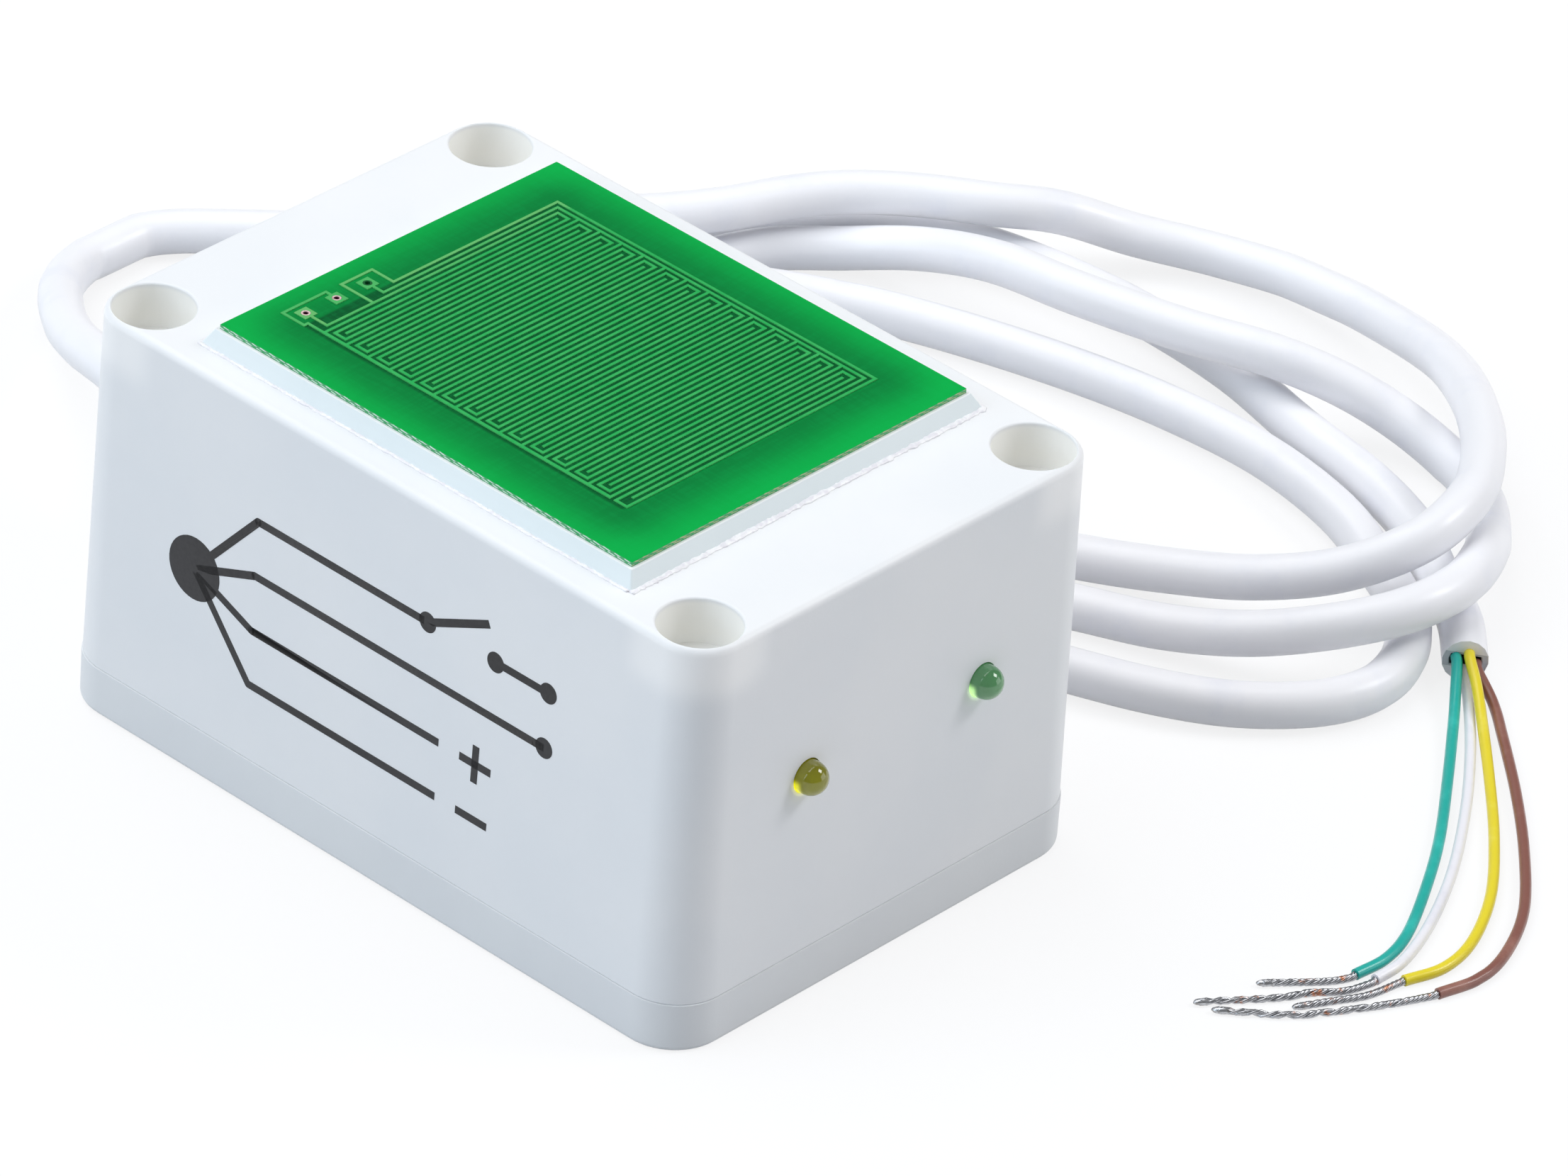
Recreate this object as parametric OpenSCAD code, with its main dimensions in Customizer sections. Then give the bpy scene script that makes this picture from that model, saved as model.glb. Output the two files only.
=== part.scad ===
// Rain sensor: a comb-patterned sensing board on a small sealed box, with a
// relay board inside and a four-core cable that lies in loose loops beside it.
// The origin is the middle of the box's underside, +Z is up and X runs along
// the long side. The lamps look along +X and the cable leaves along -X.

/* [Case] */
// Length of the case at its foot, along X
case_length = 73; // [70:1:90]
// Depth of the case at its foot, along Y
case_depth = 50; // [48:1:64]
// Height of the case top above the surface it is fixed to
case_height = 39; // [36:1:50]
// Thickness of the side walls
wall = 2; // [1.6:0.1:2.6]
// Thickness of the roof
roof = 2.5; // [1.6:0.1:4]
// Lean of the side walls, in degrees
draft_angle = 1.25; // [0.5:0.25:2]
// Radius of the upright corners at the foot
corner_radius = 5; // [4.6:0.1:7]
// Height of the seam between base plate and housing
seam_height = 4.7; // [4:0.1:6]
// Rounding of the top edge
top_edge_radius = 0.7; // [0.2:0.1:1.2]
// Rounding of the bottom edge
foot_edge_radius = 0.6; // [0.2:0.1:1.2]
// Thickness of the base plate's floor
floor_thickness = 2.2; // [1.8:0.1:3]

/* [Fixing holes] */
// Distance of the fixing holes from the sides of the foot
fixing_inset = 5; // [5:0.1:6.5]
// Width of the fixing holes
fixing_bore = 4.3; // [3.2:0.1:5]
// Width of the counterbores for the screw heads
counterbore_width = 7.2; // [6:0.1:7.4]
// Depth of the counterbores
counterbore_depth = 4.3; // [2.5:0.1:8]
// Wall round the counterbores, inside the case
column_wall = 1.6; // [1:0.1:2.2]

/* [Sensing board] */
// Length of the sensing board, along X
board_length = 47.5; // [45:0.5:49]
// Depth of the sensing board, along Y
board_depth = 40; // [38:0.5:41]
// Thickness of the sensing board
board_thickness = 0.8; // [0.6:0.1:1.6]
// Height of the plinth under the board
plinth_height = 1.1; // [0.6:0.1:3]
// How far the plinth's foot stands out beyond the board
plinth_flare = 1.1; // [0.3:0.1:1.6]
// Width of the adhesive bead along the plinth's foot
bead_width = 0.5; // [0.2:0.1:0.8]
// Height of the adhesive bead
bead_height = 0.35; // [0.2:0.05:0.5]
// Bare edge beside the pattern, at the pads' end
pad_end_margin = 2.2; // [1.6:0.1:4]
// Bare edge beside the pattern, at the other end
far_end_margin = 5.93; // [4:0.01:8]
// Bare edge beside the first comb's bus line
bus_a_margin = 5.39; // [4:0.01:8]
// Bare edge beside the second comb's bus line
bus_b_margin = 5.56; // [4.5:0.01:8]
// Width of the lines, as a share of the distance between their middles
line_share = 0.44; // [0.25:0.01:0.55]
// Width of the second comb's bus line, as a share of the same distance
bus_share = 0.54; // [0.3:0.01:0.6]
// Thickness of the metal on the board
line_thickness = 0.08; // [0.04:0.01:0.15]
// Number of fingers that the second comb has
finger_count = 14; // [10:1:16]
// Side of the square pads, counted in line distances
pad_side_shares = 2.2; // [1.8:0.1:2.6]
// Distance between the pads
pad_pitch = 3.62; // [3.3:0.02:3.8]
// Width of the plated holes
via_bore = 0.5; // [0.4:0.05:0.7]
// Wall of the plated holes
via_wall = 0.15; // [0.1:0.05:0.2]

/* [Lamps] */
// Width of the lamps
lamp_width = 3; // [2.5:0.1:4]
// Length of a lamp from its flange to its tip
lamp_length = 5.3; // [4.8:0.1:6]
// Height of the lamps above the foot
lamp_height = 22.2; // [18:0.1:26]
// Clearance between the lamps and the corner columns
lamp_column_gap = 2.3; // [0.5:0.1:5]

/* [Cable] */
// Width of the cable
cable_width = 4.1; // [3.6:0.1:4.1]
// Width of one core
core_width = 1; // [0.8:0.05:1.05]
// Width of a core's bare strands
strand_width = 0.6; // [0.4:0.05:0.7]
// Height of the cable's inlet above the foot
inlet_height = 12; // [11:0.1:13]
// How far the grommet's boot stands out from the foot's side
boot_reach = 10.5; // [8:0.1:14]
// Wall of the grommet's boot at its mouth
boot_wall = 0.7; // [0.4:0.1:1.2]

/* [Circuit board] */
// Thickness of the circuit board
circuit_thickness = 1.6; // [1:0.1:2]
// Height of the circuit board's underside above the foot
circuit_height = 9; // [8:0.1:9.4]
// Clearance between the circuit board and the case
circuit_clearance = 0.9; // [0.5:0.1:2]
// Width of the standoffs
standoff_width = 5; // [4:0.1:6]
// Width of a board screw's thread
board_screw_width = 1.9; // [1.6:0.1:2.4]
// Width of a base screw's thread
base_screw_width = 2.8; // [2.2:0.1:3]
// Distance of the base screws from the middle of the end walls
base_screw_offset = 10; // [9:0.1:11]

/* [Relay] */
// Length of the relay
relay_length = 19; // [18.5:0.1:20]
// Depth of the relay
relay_depth = 15.5; // [15:0.1:16.5]
// Height of the relay above the circuit board
relay_height = 15.3; // [15.1:0.1:18]
// Width of the coil's flanges
coil_width = 10; // [8:0.1:10.4]
// Height of the bobbin
bobbin_height = 7.2; // [6:0.1:7.4]
// Air gap under the open armature
air_gap = 0.9; // [0.8:0.05:1]
// Angle through which the armature swings, in degrees
armature_swing = 4; // [2:0.5:4]

/* [Hidden] */

$fn = 48;
// Facets of the posts that the case's hulls span
post_facets = 32;
// Steps in a rounded edge
edge_steps = 4;
// How far a cut runs past the face it opens
overrun = 0.5;
// Gap between pieces that seat on each other
seat_gap = 0.3;
// Gap round a piece that fits into another
fit_gap = 0.05;

// Case
half_length = case_length / 2;
half_depth = case_depth / 2;
draft = tan(draft_angle);
fixing_x = half_length - fixing_inset;
fixing_y = half_depth - fixing_inset;
column_radius = counterbore_width / 2 + column_wall;
cavity_top = case_height - roof;
tongue_gap = 0.15;
tongue_thickness = 1.2;
tongue_rise = 2;
tongue_end_gap = 0.6;
seal_inset = 0.6;
seal_width = 0.9;
seal_depth = 0.8;

// Base screws and the bosses that they drive into
boss_radius = 3;
boss_root = 0.6;
boss_rise = 11;
boss_x = half_length - lean(seam_height) - wall - boss_radius + boss_root;
screw_pad_radius = boss_radius + boss_root;
base_head_radius = 2.7;
base_head_height = 1.6;
base_head_recess = 0.1;
base_screw_end = seam_height + boss_rise - base_screw_width;

// Sensing board
plinth_top = case_height + plinth_height;
board_top = plinth_top + board_thickness;
metal_top = board_top + line_thickness;
via_radius = via_bore / 2 + via_wall;
via_fit = 0.02;
lead_radius = 0.2;
lead_bore_radius = 0.5;
lead_depth = 0.25;
first_line = 0;
last_line = 4 * finger_count;
pad_lines = 5;
line_pitch = (board_length - pad_end_margin - far_end_margin) / (last_line + pad_lines + 1);
line_width = line_pitch * line_share;
bus_width = line_pitch * bus_share;
pad_side = line_pitch * pad_side_shares;
bus_a_y = board_depth / 2 - bus_a_margin;
bus_b_y = bus_b_margin - board_depth / 2;
pad_corner_x = line_x(first_line) - pad_lines * line_pitch;
pad_x = pad_corner_x + 2 * line_pitch;
pad_foot_share = 1.55;
pad_1_y = bus_b_y + line_pitch * pad_foot_share;
pad_2_y = pad_1_y + pad_pitch;
pad_3_y = pad_2_y + pad_pitch;
jog_share = 0.7;
jog_y = bus_b_y - line_pitch * jog_share;
pads = [[pad_x, pad_1_y], [pad_x, pad_2_y], [pad_x, pad_3_y]];

// Lamps
lamp_radius = lamp_width / 2;
lamp_flange = 1;
lamp_flange_step = 0.4;
lamp_flange_radius = lamp_radius + lamp_flange_step;
lamp_offset = fixing_y - column_radius - lamp_flange_radius - lamp_column_gap;
lamp_fit = 0.1;
lamp_lead_width = 0.5;
lamp_lead_spacing = 2.54;
lamp_lead_inset = 2.6;
lamp_back_x = half_length - lean(lamp_height - lamp_flange_radius) - wall
  - seat_gap - lamp_flange - 2 * lamp_flange_radius * draft;

// Circuit board
circuit_top = circuit_height + circuit_thickness;
circuit_half_length = fixing_x - column_radius - circuit_clearance;
circuit_half_depth = half_depth - lean(circuit_top) - wall - circuit_clearance
  - tongue_thickness / 3;
standoff_inset = 3.9;
standoff_x = circuit_half_length - standoff_inset;
standoff_y = circuit_half_depth - standoff_inset;
board_head_radius = 2;
board_head_height = 1.4;
board_screw_depth = 5;

// Relay, from the circuit board up
relay_shift_share = 0.06;
relay_back_gap = 4.2;
relay_x = circuit_half_length * relay_shift_share * 2;
relay_y = -circuit_half_depth + relay_back_gap + relay_depth / 2;
relay_wall = 0.8;
relay_base_thickness = 2;
relay_floor = circuit_top + relay_base_thickness;
yoke_thickness = 1;
yoke_width = 8;
coil_gap = 0.4;
coil_radius = coil_width / 2;
coil_x = -1.6;
core_radius = 1.6;
hub_wall = 0.6;
flange_thickness = 0.7;
pole_radius = 3;
pole_thickness = 0.8;
winding_inset = 0.5;
armature_thickness = 1;
armature_overhang = 0.4;
spring_thickness = 0.25;
spring_width = 4;
button_radius = 0.9;
button_height = 0.5;
contact_x = 6.4;
contact_thickness = 0.4;
contact_width = 2;
contact_reach = 5.5;
contact_gap = 0.2;
bobbin_floor = relay_floor + yoke_thickness;
pole_face = bobbin_floor + bobbin_height + pole_thickness;
armature_floor = pole_face + air_gap;
armature_top = armature_floor + armature_thickness;
spring_top = armature_top + spring_thickness;
leg_x = coil_x - coil_radius - coil_gap - yoke_thickness;
hinge_x = leg_x + yoke_thickness / 2;
hinge_z = armature_floor - seat_gap / 2;
contact_travel = (contact_x - hinge_x) * sin(armature_swing);

// Small parts on the circuit board
chip_length = 9.4;
chip_depth = 6.3;
chip_height = 3.3;
chip_lift = 0.5;
chip_leg_width = 0.5;
chip_leg_pitch = 2.54;
chip_leg_reach = 0.8;
chip_gap = 2.2;
chip_x = relay_x - relay_length / 4;
chip_y = relay_y + relay_depth / 2 + chip_gap + chip_depth / 2 + chip_leg_reach;
can_radius = 4;
can_height = 11.5;
can_groove = 0.3;
can_groove_height = 1.6;
can_sleeve_step = 0.4;
can_x = chip_x - chip_length / 2 - chip_gap - can_radius - chip_leg_reach;
can_y = chip_y;
small_radius = 2.3;
small_height = 4.6;
small_flat = 1.3;
small_lift = 2;
small_leg_width = 0.45;
small_leg_pitch = 1.27;
small_row_gap = 0.8;
small_y = chip_y + chip_depth / 2 + chip_leg_reach + small_row_gap + small_radius;
axial_lead_width = 0.6;
axial_bend = 1.6;
diode_radius = 1.35;
diode_length = 5.2;
diode_gap = 3.2;
diode_x = relay_x - relay_length / 2 - diode_gap - diode_radius;
diode_y = relay_y;
resistor_radius = 1.1;
resistor_length = 6;
resistor_pitch = 3;
resistor_count = 5;
resistor_x = chip_x + chip_length / 2 + chip_gap + axial_bend + resistor_length / 2;
resistor_y = relay_y + relay_depth / 2 + resistor_radius + chip_gap / 2;
axial_lift = 0.3;

// Cable inlet
cable_radius = cable_width / 2;
grommet_flange_radius = 4.2;
grommet_flange = 1.2;
grommet_neck_radius = 3.2;
grommet_outer_x = -(half_length - lean(inlet_height - grommet_flange_radius) + fit_gap);
grommet_inner_x = -(half_length - wall - lean(inlet_height + grommet_flange_radius) - fit_gap);
boot_end_x = -(half_length + boot_reach);
boot_root_radius = 3.7;
tie_width = 1;
tie_thickness = 0.9;
tie_head_length = 2.4;
tie_head_height = 1.6;
tail_end_gap = 1.6;
tie_x = grommet_inner_x + grommet_flange;
tail_end_x = tie_x + tie_width + tail_end_gap;
inner_wire_share = 0.6;
inner_wire_pitch = 2.6;
inner_wire_inset = 2;
inner_wire_arch = 1.5;

// Cords: routes in millimetres, measured from the frame's origin
cord_sides = 8;
cable_route = [
  [-47, 0, 12], [-52, 0, 12], [-59, 2, 11], [-66.5, 6, 8], [-73.5, 11, 5],
  [-80, 17, 3], [-83, 23.5, 2], [-82.5, 30, 2], [-78, 36, 2], [-71, 42.5, 2.5],
  [-63, 49, 4.5], [-56, 54.5, 7], [-50, 60.5, 7], [-46, 67, 7], [-43.5, 73, 7],
  [-40.5, 78, 7], [-36, 82.5, 7], [-30.5, 86.5, 7], [-26.5, 91.5, 6],
  [-22, 97, 3.5], [-15.5, 101.5, 2.5], [-6.5, 103.5, 3], [4, 102.5, 4],
  [14.5, 98.5, 6], [24, 91, 8], [31, 82.5, 9.5], [34, 76, 10], [34, 70, 9],
  [30, 65, 6.5], [24, 61, 4.5], [17, 58, 3], [9, 54.5, 2], [-1, 49.5, 2],
  [-12, 45, 2], [-24, 43, 2], [-35, 45.5, 2], [-43, 51.5, 2], [-46.5, 60.5, 2],
  [-44.5, 70, 2], [-39, 76, 2.5], [-32, 79, 4.5], [-24, 80, 6.5], [-15, 81, 7],
  [-5, 83.5, 7], [3.5, 86.5, 7], [9.5, 89.5, 5.5], [15, 91.5, 3.5],
  [21, 91.5, 2], [26.5, 89, 2], [31.5, 84, 3], [36.5, 77, 6], [39, 70.5, 7],
  [38.5, 64, 7], [35, 58.5, 6], [29, 54.5, 4], [22, 51.5, 2.5], [14.5, 48.5, 2],
  [4, 43.5, 2], [-8, 38.5, 2], [-20, 36.5, 2], [-31, 38, 3], [-37.5, 42, 5.5],
  [-41.5, 49, 7], [-41, 57, 5.5], [-38.5, 64.5, 3], [-33, 69.5, 2],
  [-24, 73.5, 2], [-12.5, 77, 2], [-2, 79, 2], [9, 79.5, 2], [19.5, 77.5, 2],
  [28, 73.5, 2], [34.5, 69.5, 2], [38.5, 64.5, 2], [40, 59, 2], [38.5, 53.5, 2],
  [34, 48, 2], [28, 44, 2], [20, 40.5, 2], [7, 35.5, 2], [-8, 31.5, 2],
  [-24, 30.5, 2], [-38, 34, 2], [-47.5, 41.5, 2], [-52.5, 51.5, 2],
  [-53.5, 62, 2], [-50.5, 72, 2], [-44.5, 79.5, 2], [-37.5, 84.5, 2],
  [-30, 87, 2], [-22, 88.5, 2], [-13, 89, 2], [-2, 88, 2], [8, 85.5, 2],
  [18, 83.5, 2], [26, 80.5, 2], [32, 76.5, 2], [38, 72.5, 2], [42.5, 68, 2]];
green_route = [[41.9, 67.4, 2.4], [42.7, 66.6, 2.4], [44.6, 64.3, 1.6], [47, 61.3, 0.9],
  [52, 54.7, 0.5], [57.3, 47.4, 0.5], [61.2, 41.1, 0.5], [64.6, 34.7, 0.5],
  [65.8, 30.5, 0.5], [65.6, 26.8, 0.5]];
white_route = [[42.4, 67.9, 1.2], [43.2, 67.1, 1.2], [45.6, 65, 0.5], [50.4, 59.6, 0.5],
  [55.9, 52.5, 0.5], [61.2, 44.5, 0.5], [65, 37.1, 0.5], [67, 31.3, 0.5],
  [67.2, 27.5, 0.5]];
yellow_route = [[42.7, 68.2, 2.8], [43.5, 67.4, 2.8], [45.7, 65.8, 1.9], [48.9, 62.9, 1],
  [54.5, 57.3, 0.5], [60.5, 50.8, 0.5], [65.7, 44.2, 0.5], [69, 37.9, 0.5],
  [69.9, 33.2, 0.5], [68.9, 29.2, 0.5]];
brown_route = [[43.2, 68.7, 1.8], [44, 67.9, 1.8], [47, 66.6, 0.6], [50.8, 63.4, 0.5],
  [57.4, 57.4, 0.5], [63.5, 51.2, 0.5], [69, 44.6, 0.5], [72, 38.7, 0.5],
  [72.9, 34.2, 0.5], [72, 29.9, 0.5]];
green_end_route = [[65.6, 26.8, 0.5], [65.5, 26.1, 0.4], [64.4, 24.2, 0.3], [61.1, 20.2, 0.3]];
white_end_route = [[67.2, 27.5, 0.5], [67.2, 26.8, 0.4], [66.4, 24.4, 0.3],
  [64.6, 22, 0.3], [63.4, 19.6, 0.3], [59.4, 14.2, 0.3]];
yellow_end_route = [[68.9, 29.2, 0.5], [68.7, 28.4, 0.4], [68.1, 25.4, 0.3],
  [66.7, 22.6, 0.3], [65.3, 19.9, 0.3]];
brown_end_route = [[72, 29.9, 0.5], [71.7, 29.1, 0.4], [70, 25.6, 0.3], [68, 22, 0.3],
  [65.6, 18.4, 0.3], [61.2, 14.5, 0.3]];

// How far a side wall has leant inwards at a height
function lean(height) = height * draft;

// Middle of a line of the pattern, counted from the first comb's first finger
function line_x(number) = pad_end_margin - board_length / 2
  + (number + pad_lines) * line_pitch;

// Unit vector
function unit(v) = v / norm(v);

// Points of a quarter round edge, from angle a to angle b
function quarter(x, z, r, a, b) = [for (k = [0:edge_steps])
  let (t = a + (b - a) * k / edge_steps) [x + r * cos(t), z + r * sin(t)]];

// Outline of a strip along a path whose turns are square
function strip(path, width) = let (
    last = len(path) - 1,
    way = [for (k = [0:last - 1]) unit(path[k + 1] - path[k])],
    left = [for (k = [0:last]) let (a = way[max(k - 1, 0)], b = way[min(k, last - 1)])
      norm(a - b) < 1 ? [-a.y, a.x] : [-a.y - b.y, a.x + b.x]])
  concat([for (k = [0:last]) path[k] + left[k] * width / 2],
    [for (k = [last:-1:0]) path[k] - left[k] * width / 2]);

// A cord's middle at a point, kept above the surface it lies on
function lifted(p, width) = [p.x, p.y, max(p.z, width / 2)];

// Direction of a path at one of its points
function heading(path, k) = let (last = len(path) - 1)
  k == 0 ? unit(path[1] - path[0])
  : k == last ? unit(path[last] - path[last - 1])
  : unit(unit(path[k + 1] - path[k]) + unit(path[k] - path[k - 1]));

// Ring of points round a path, with its first axis square to a reference
function ring(path, k, radius, sides, reference) = let (
    t = heading(path, k), a = unit(cross(reference, t)), b = cross(t, a))
  [for (j = [0:sides - 1]) let (w = 360 * (j + 0.5) / sides)
    path[k] + radius * (cos(w) * a + sin(w) * b)];

// Least gap of a tube to itself, measured between its points and middles
function tube_gap(path, width, apart) = let (
    p = [for (k = [0:len(path) - 2], h = [0, 0.5]) path[k] * (1 - h) + path[k + 1] * h])
  min([for (i = [0:len(p) - 1], j = [i + apart:1:len(p) - 1]) norm(p[i] - p[j])]) - width;

// One solid tube along a path
module tube(path, width, sides = 6, reference = [0, 0, 1]) {
  last = len(path) - 1;
  points = [for (k = [0:last]) each ring(path, k, width / 2, sides, reference)];
  polyhedron(points, concat(
    [[for (j = [0:sides - 1]) j]],
    [for (k = [0:last - 1], j = [0:sides - 1]) let (n = (j + 1) % sides)
      each [[k * sides + j, (k + 1) * sides + n, k * sides + n],
        [k * sides + j, (k + 1) * sides + j, (k + 1) * sides + n]]],
    [[for (j = [sides - 1:-1:0]) last * sides + j]]));
}

// A cord's tube, lying on the surface
module cord(route, width) {
  tube([for (p = route) lifted(p, width)], width, cord_sides);
}

// Upright disc or bar between two heights
module post(x, y, low, high, radius) {
  translate([x, y, low]) cylinder(h = high - low, r = radius);
}

// Box between two corners
module block(low, high) {
  translate(low) cube(high - low);
}

// The four fixing hole positions
module at_fixings() {
  for (x = [-fixing_x, fixing_x], y = [-fixing_y, fixing_y]) translate([x, y, 0]) children();
}

// The four base screw positions
module at_base_screws() {
  for (x = [-boss_x, boss_x], y = [-base_screw_offset, base_screw_offset])
    translate([x, y, 0]) children();
}

// The four standoff positions
module at_standoffs() {
  for (x = [-standoff_x, standoff_x], y = [-standoff_y, standoff_y])
    translate([x, y, 0]) children();
}

// Rounded block from corner posts of a given outline in (radius, height)
module posts_hull(outline) {
  hull() for (x = [-1, 1], y = [-1, 1])
    translate([x * (half_length - corner_radius), y * (half_depth - corner_radius), 0])
      rotate_extrude($fn = post_facets) polygon(outline);
}

// Outline of a corner post whose side leans, inset from the case's outside
function leaning_post(low, high, inset, edge) = let (
    foot = corner_radius - inset - lean(low), head = corner_radius - inset - lean(high))
  concat([[0, low], [foot, low]], quarter(head - edge, high - edge, edge, 0, 90), [[0, high]]);

// Outline of an upright corner post
function upright_post(low, high, inset) = let (r = corner_radius - inset)
  [[0, low], [r, low], [r, high], [0, high]];

// Bevelled slab on the case top, from half sizes at two heights
module slab(low, low_x, low_y, high, high_x, high_y) {
  polyhedron([for (c = [[low, low_x, low_y], [high, high_x, high_y]],
      s = [[-1, -1], [1, -1], [1, 1], [-1, 1]]) [s.x * c[1], s.y * c[2], c[0]]],
    [[0, 1, 2, 3], [7, 6, 5, 4], [4, 5, 1, 0], [5, 6, 2, 1], [6, 7, 3, 2], [7, 4, 0, 3]]);
}

module housing() {
  color([0.93, 0.94, 0.95]) difference() {
    posts_hull(leaning_post(seam_height, case_height, 0, top_edge_radius));
    difference() {
      union() {
        posts_hull(leaning_post(seam_height, cavity_top, wall, 0));
        posts_hull(upright_post(seam_height - overrun, seam_height + overrun,
          wall + lean(seam_height)));
      }
      at_fixings() post(0, 0, 0, case_height, column_radius);
      at_base_screws() post(0, 0, 0, seam_height + boss_rise, boss_radius);
    }
    at_fixings() {
      post(0, 0, 0, case_height + overrun, fixing_bore / 2);
      post(0, 0, case_height - counterbore_depth, case_height + overrun,
        counterbore_width / 2);
    }
    at_base_screws() post(0, 0, 0, base_screw_end + fit_gap, base_screw_width / 2 + fit_gap);
    for (p = pads) post(p.x, p.y, cavity_top - overrun, case_height + overrun, lead_bore_radius);
    for (y = [-lamp_offset, lamp_offset]) translate([lamp_back_x, y, lamp_height])
      rotate([0, 90, 0]) cylinder(h = half_length, r = lamp_radius + lamp_fit);
    translate([-half_length - overrun, 0, inlet_height]) rotate([0, 90, 0])
      cylinder(h = wall + 2 * overrun + lean(case_height), r = grommet_neck_radius + fit_gap);
  }
}

module base_plate() {
  color([0.88, 0.9, 0.92]) difference() {
    union() {
      difference() {
        posts_hull(concat([[0, 0]],
          quarter(corner_radius - foot_edge_radius, foot_edge_radius, foot_edge_radius, -90, 0),
          [[corner_radius, seam_height], [0, seam_height]]));
        difference() {
          posts_hull(upright_post(floor_thickness, seam_height + overrun, wall));
          at_fixings() post(0, 0, 0, seam_height, column_radius);
          at_base_screws() post(0, 0, 0, seam_height, screw_pad_radius);
        }
        difference() {
          posts_hull(upright_post(seam_height - seal_depth, seam_height + overrun, seal_inset));
          posts_hull(upright_post(0, seam_height + 2 * overrun, seal_inset + seal_width));
        }
      }
      tongues();
      at_standoffs() post(0, 0, floor_thickness, circuit_height, standoff_width / 2);
    }
    at_fixings() post(0, 0, -overrun, seam_height + overrun, fixing_bore / 2);
    at_base_screws() {
      post(0, 0, -overrun, seam_height + overrun, base_screw_width / 2 + fit_gap);
      post(0, 0, -overrun, base_head_recess, base_head_radius + fit_gap);
      translate([0, 0, base_head_recess]) cylinder(h = base_head_height,
        r1 = base_head_radius + fit_gap, r2 = base_screw_width / 2 + fit_gap);
    }
    at_standoffs() post(0, 0, circuit_height - board_screw_depth, circuit_height + overrun,
      board_screw_width / 2 + fit_gap);
  }
}

// Ribs of the base plate that stand inside the housing's walls
module tongues() {
  side_x = fixing_x - column_radius - tongue_end_gap;
  side_y = base_screw_offset - screw_pad_radius - tongue_end_gap;
  out_x = half_length - lean(seam_height + tongue_rise) - wall - tongue_gap;
  out_y = half_depth - lean(seam_height + tongue_rise) - wall - tongue_gap;
  top = seam_height + tongue_rise;
  for (s = [-1, 1]) {
    translate([0, s * (out_y - tongue_thickness / 2), floor_thickness])
      linear_extrude(top - floor_thickness) square([2 * side_x, tongue_thickness], center = true);
    translate([s * (out_x - tongue_thickness / 2), 0, floor_thickness])
      linear_extrude(top - floor_thickness) square([tongue_thickness, 2 * side_y], center = true);
  }
}

module base_seal() {
  color([0.25, 0.26, 0.28]) difference() {
    posts_hull(upright_post(seam_height - seal_depth, seam_height, seal_inset + fit_gap));
    posts_hull(upright_post(0, seam_height + overrun, seal_inset + seal_width - fit_gap));
  }
}

module base_screws() {
  color([0.75, 0.76, 0.78]) at_base_screws() rotate_extrude() polygon([
    [0, base_head_recess], [base_head_radius, base_head_recess],
    [base_screw_width / 2, base_head_recess + base_head_height],
    [base_screw_width / 2, base_screw_end - base_screw_width / 2],
    [base_screw_width / 4, base_screw_end], [0, base_screw_end]]);
}

module sensor_plinth() {
  color([0.9, 0.92, 0.94]) difference() {
    slab(case_height, board_length / 2 + plinth_flare, board_depth / 2 + plinth_flare,
      plinth_top, board_length / 2, board_depth / 2);
    for (p = pads) post(p.x, p.y, case_height - overrun, plinth_top + overrun, lead_bore_radius);
  }
}

module plinth_adhesive() {
  back_share = (plinth_height - bead_height) / plinth_height;
  foot_x = board_length / 2 + plinth_flare;
  foot_y = board_depth / 2 + plinth_flare;
  head_x = board_length / 2 + plinth_flare * back_share;
  head_y = board_depth / 2 + plinth_flare * back_share;
  bead_top = case_height + bead_height;
  color([0.9, 0.9, 0.92]) difference() {
    slab(case_height, foot_x + bead_width, foot_y + bead_width,
      bead_top, head_x + fit_gap, head_y + fit_gap);
    slab(case_height - overrun, foot_x + overrun * plinth_flare / plinth_height,
      foot_y + overrun * plinth_flare / plinth_height,
      plinth_top, board_length / 2, board_depth / 2);
  }
}

module sensor_board() {
  color([0, 0.62, 0.28]) difference() {
    block([-board_length / 2, -board_depth / 2, plinth_top],
      [board_length / 2, board_depth / 2, board_top]);
    for (p = pads) post(p.x, p.y, plinth_top - overrun, board_top + overrun, via_radius + via_fit);
  }
}

// Flat metal on the board, with the plated holes left open
module metal() {
  difference() {
    union() for (k = [0:$children - 1])
      translate([0, 0, board_top]) linear_extrude(line_thickness) children(k);
    for (p = pads) post(p.x, p.y, plinth_top, metal_top + overrun, via_radius + via_fit);
  }
}

// Square pad
module pad(place) {
  translate(place) square(pad_side, center = true);
}

// Comb: a bus line and fingers that end two pitches short of the other bus
function comb_outline(lines, bus, tip, width) = let (
    s = sign(tip - bus), h = line_width / 2, last = len(lines) - 1)
  concat([[line_x(lines[0]) - h, bus - s * width / 2],
      [line_x(lines[last]) + h, bus - s * width / 2]],
    [for (k = [last:-1:0]) let (x = line_x(lines[k])) each [
      [x + h, bus + s * width / 2], [x + h, tip], [x - h, tip], [x - h, bus + s * width / 2]]]);

module electrode_comb_a() {
  tip = bus_b_y + 2 * line_pitch;
  fingers = [for (k = [1:finger_count]) 4 * k];
  color([0.25, 0.75, 0.4]) metal() {
    polygon(comb_outline(fingers, bus_a_y, tip, line_width));
    polygon(strip([[line_x(fingers[0]), bus_a_y], [line_x(first_line), bus_a_y],
      [line_x(first_line), pad_3_y], [pad_x, pad_3_y]], line_width));
    pad(pads[2]);
  }
}

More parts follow.
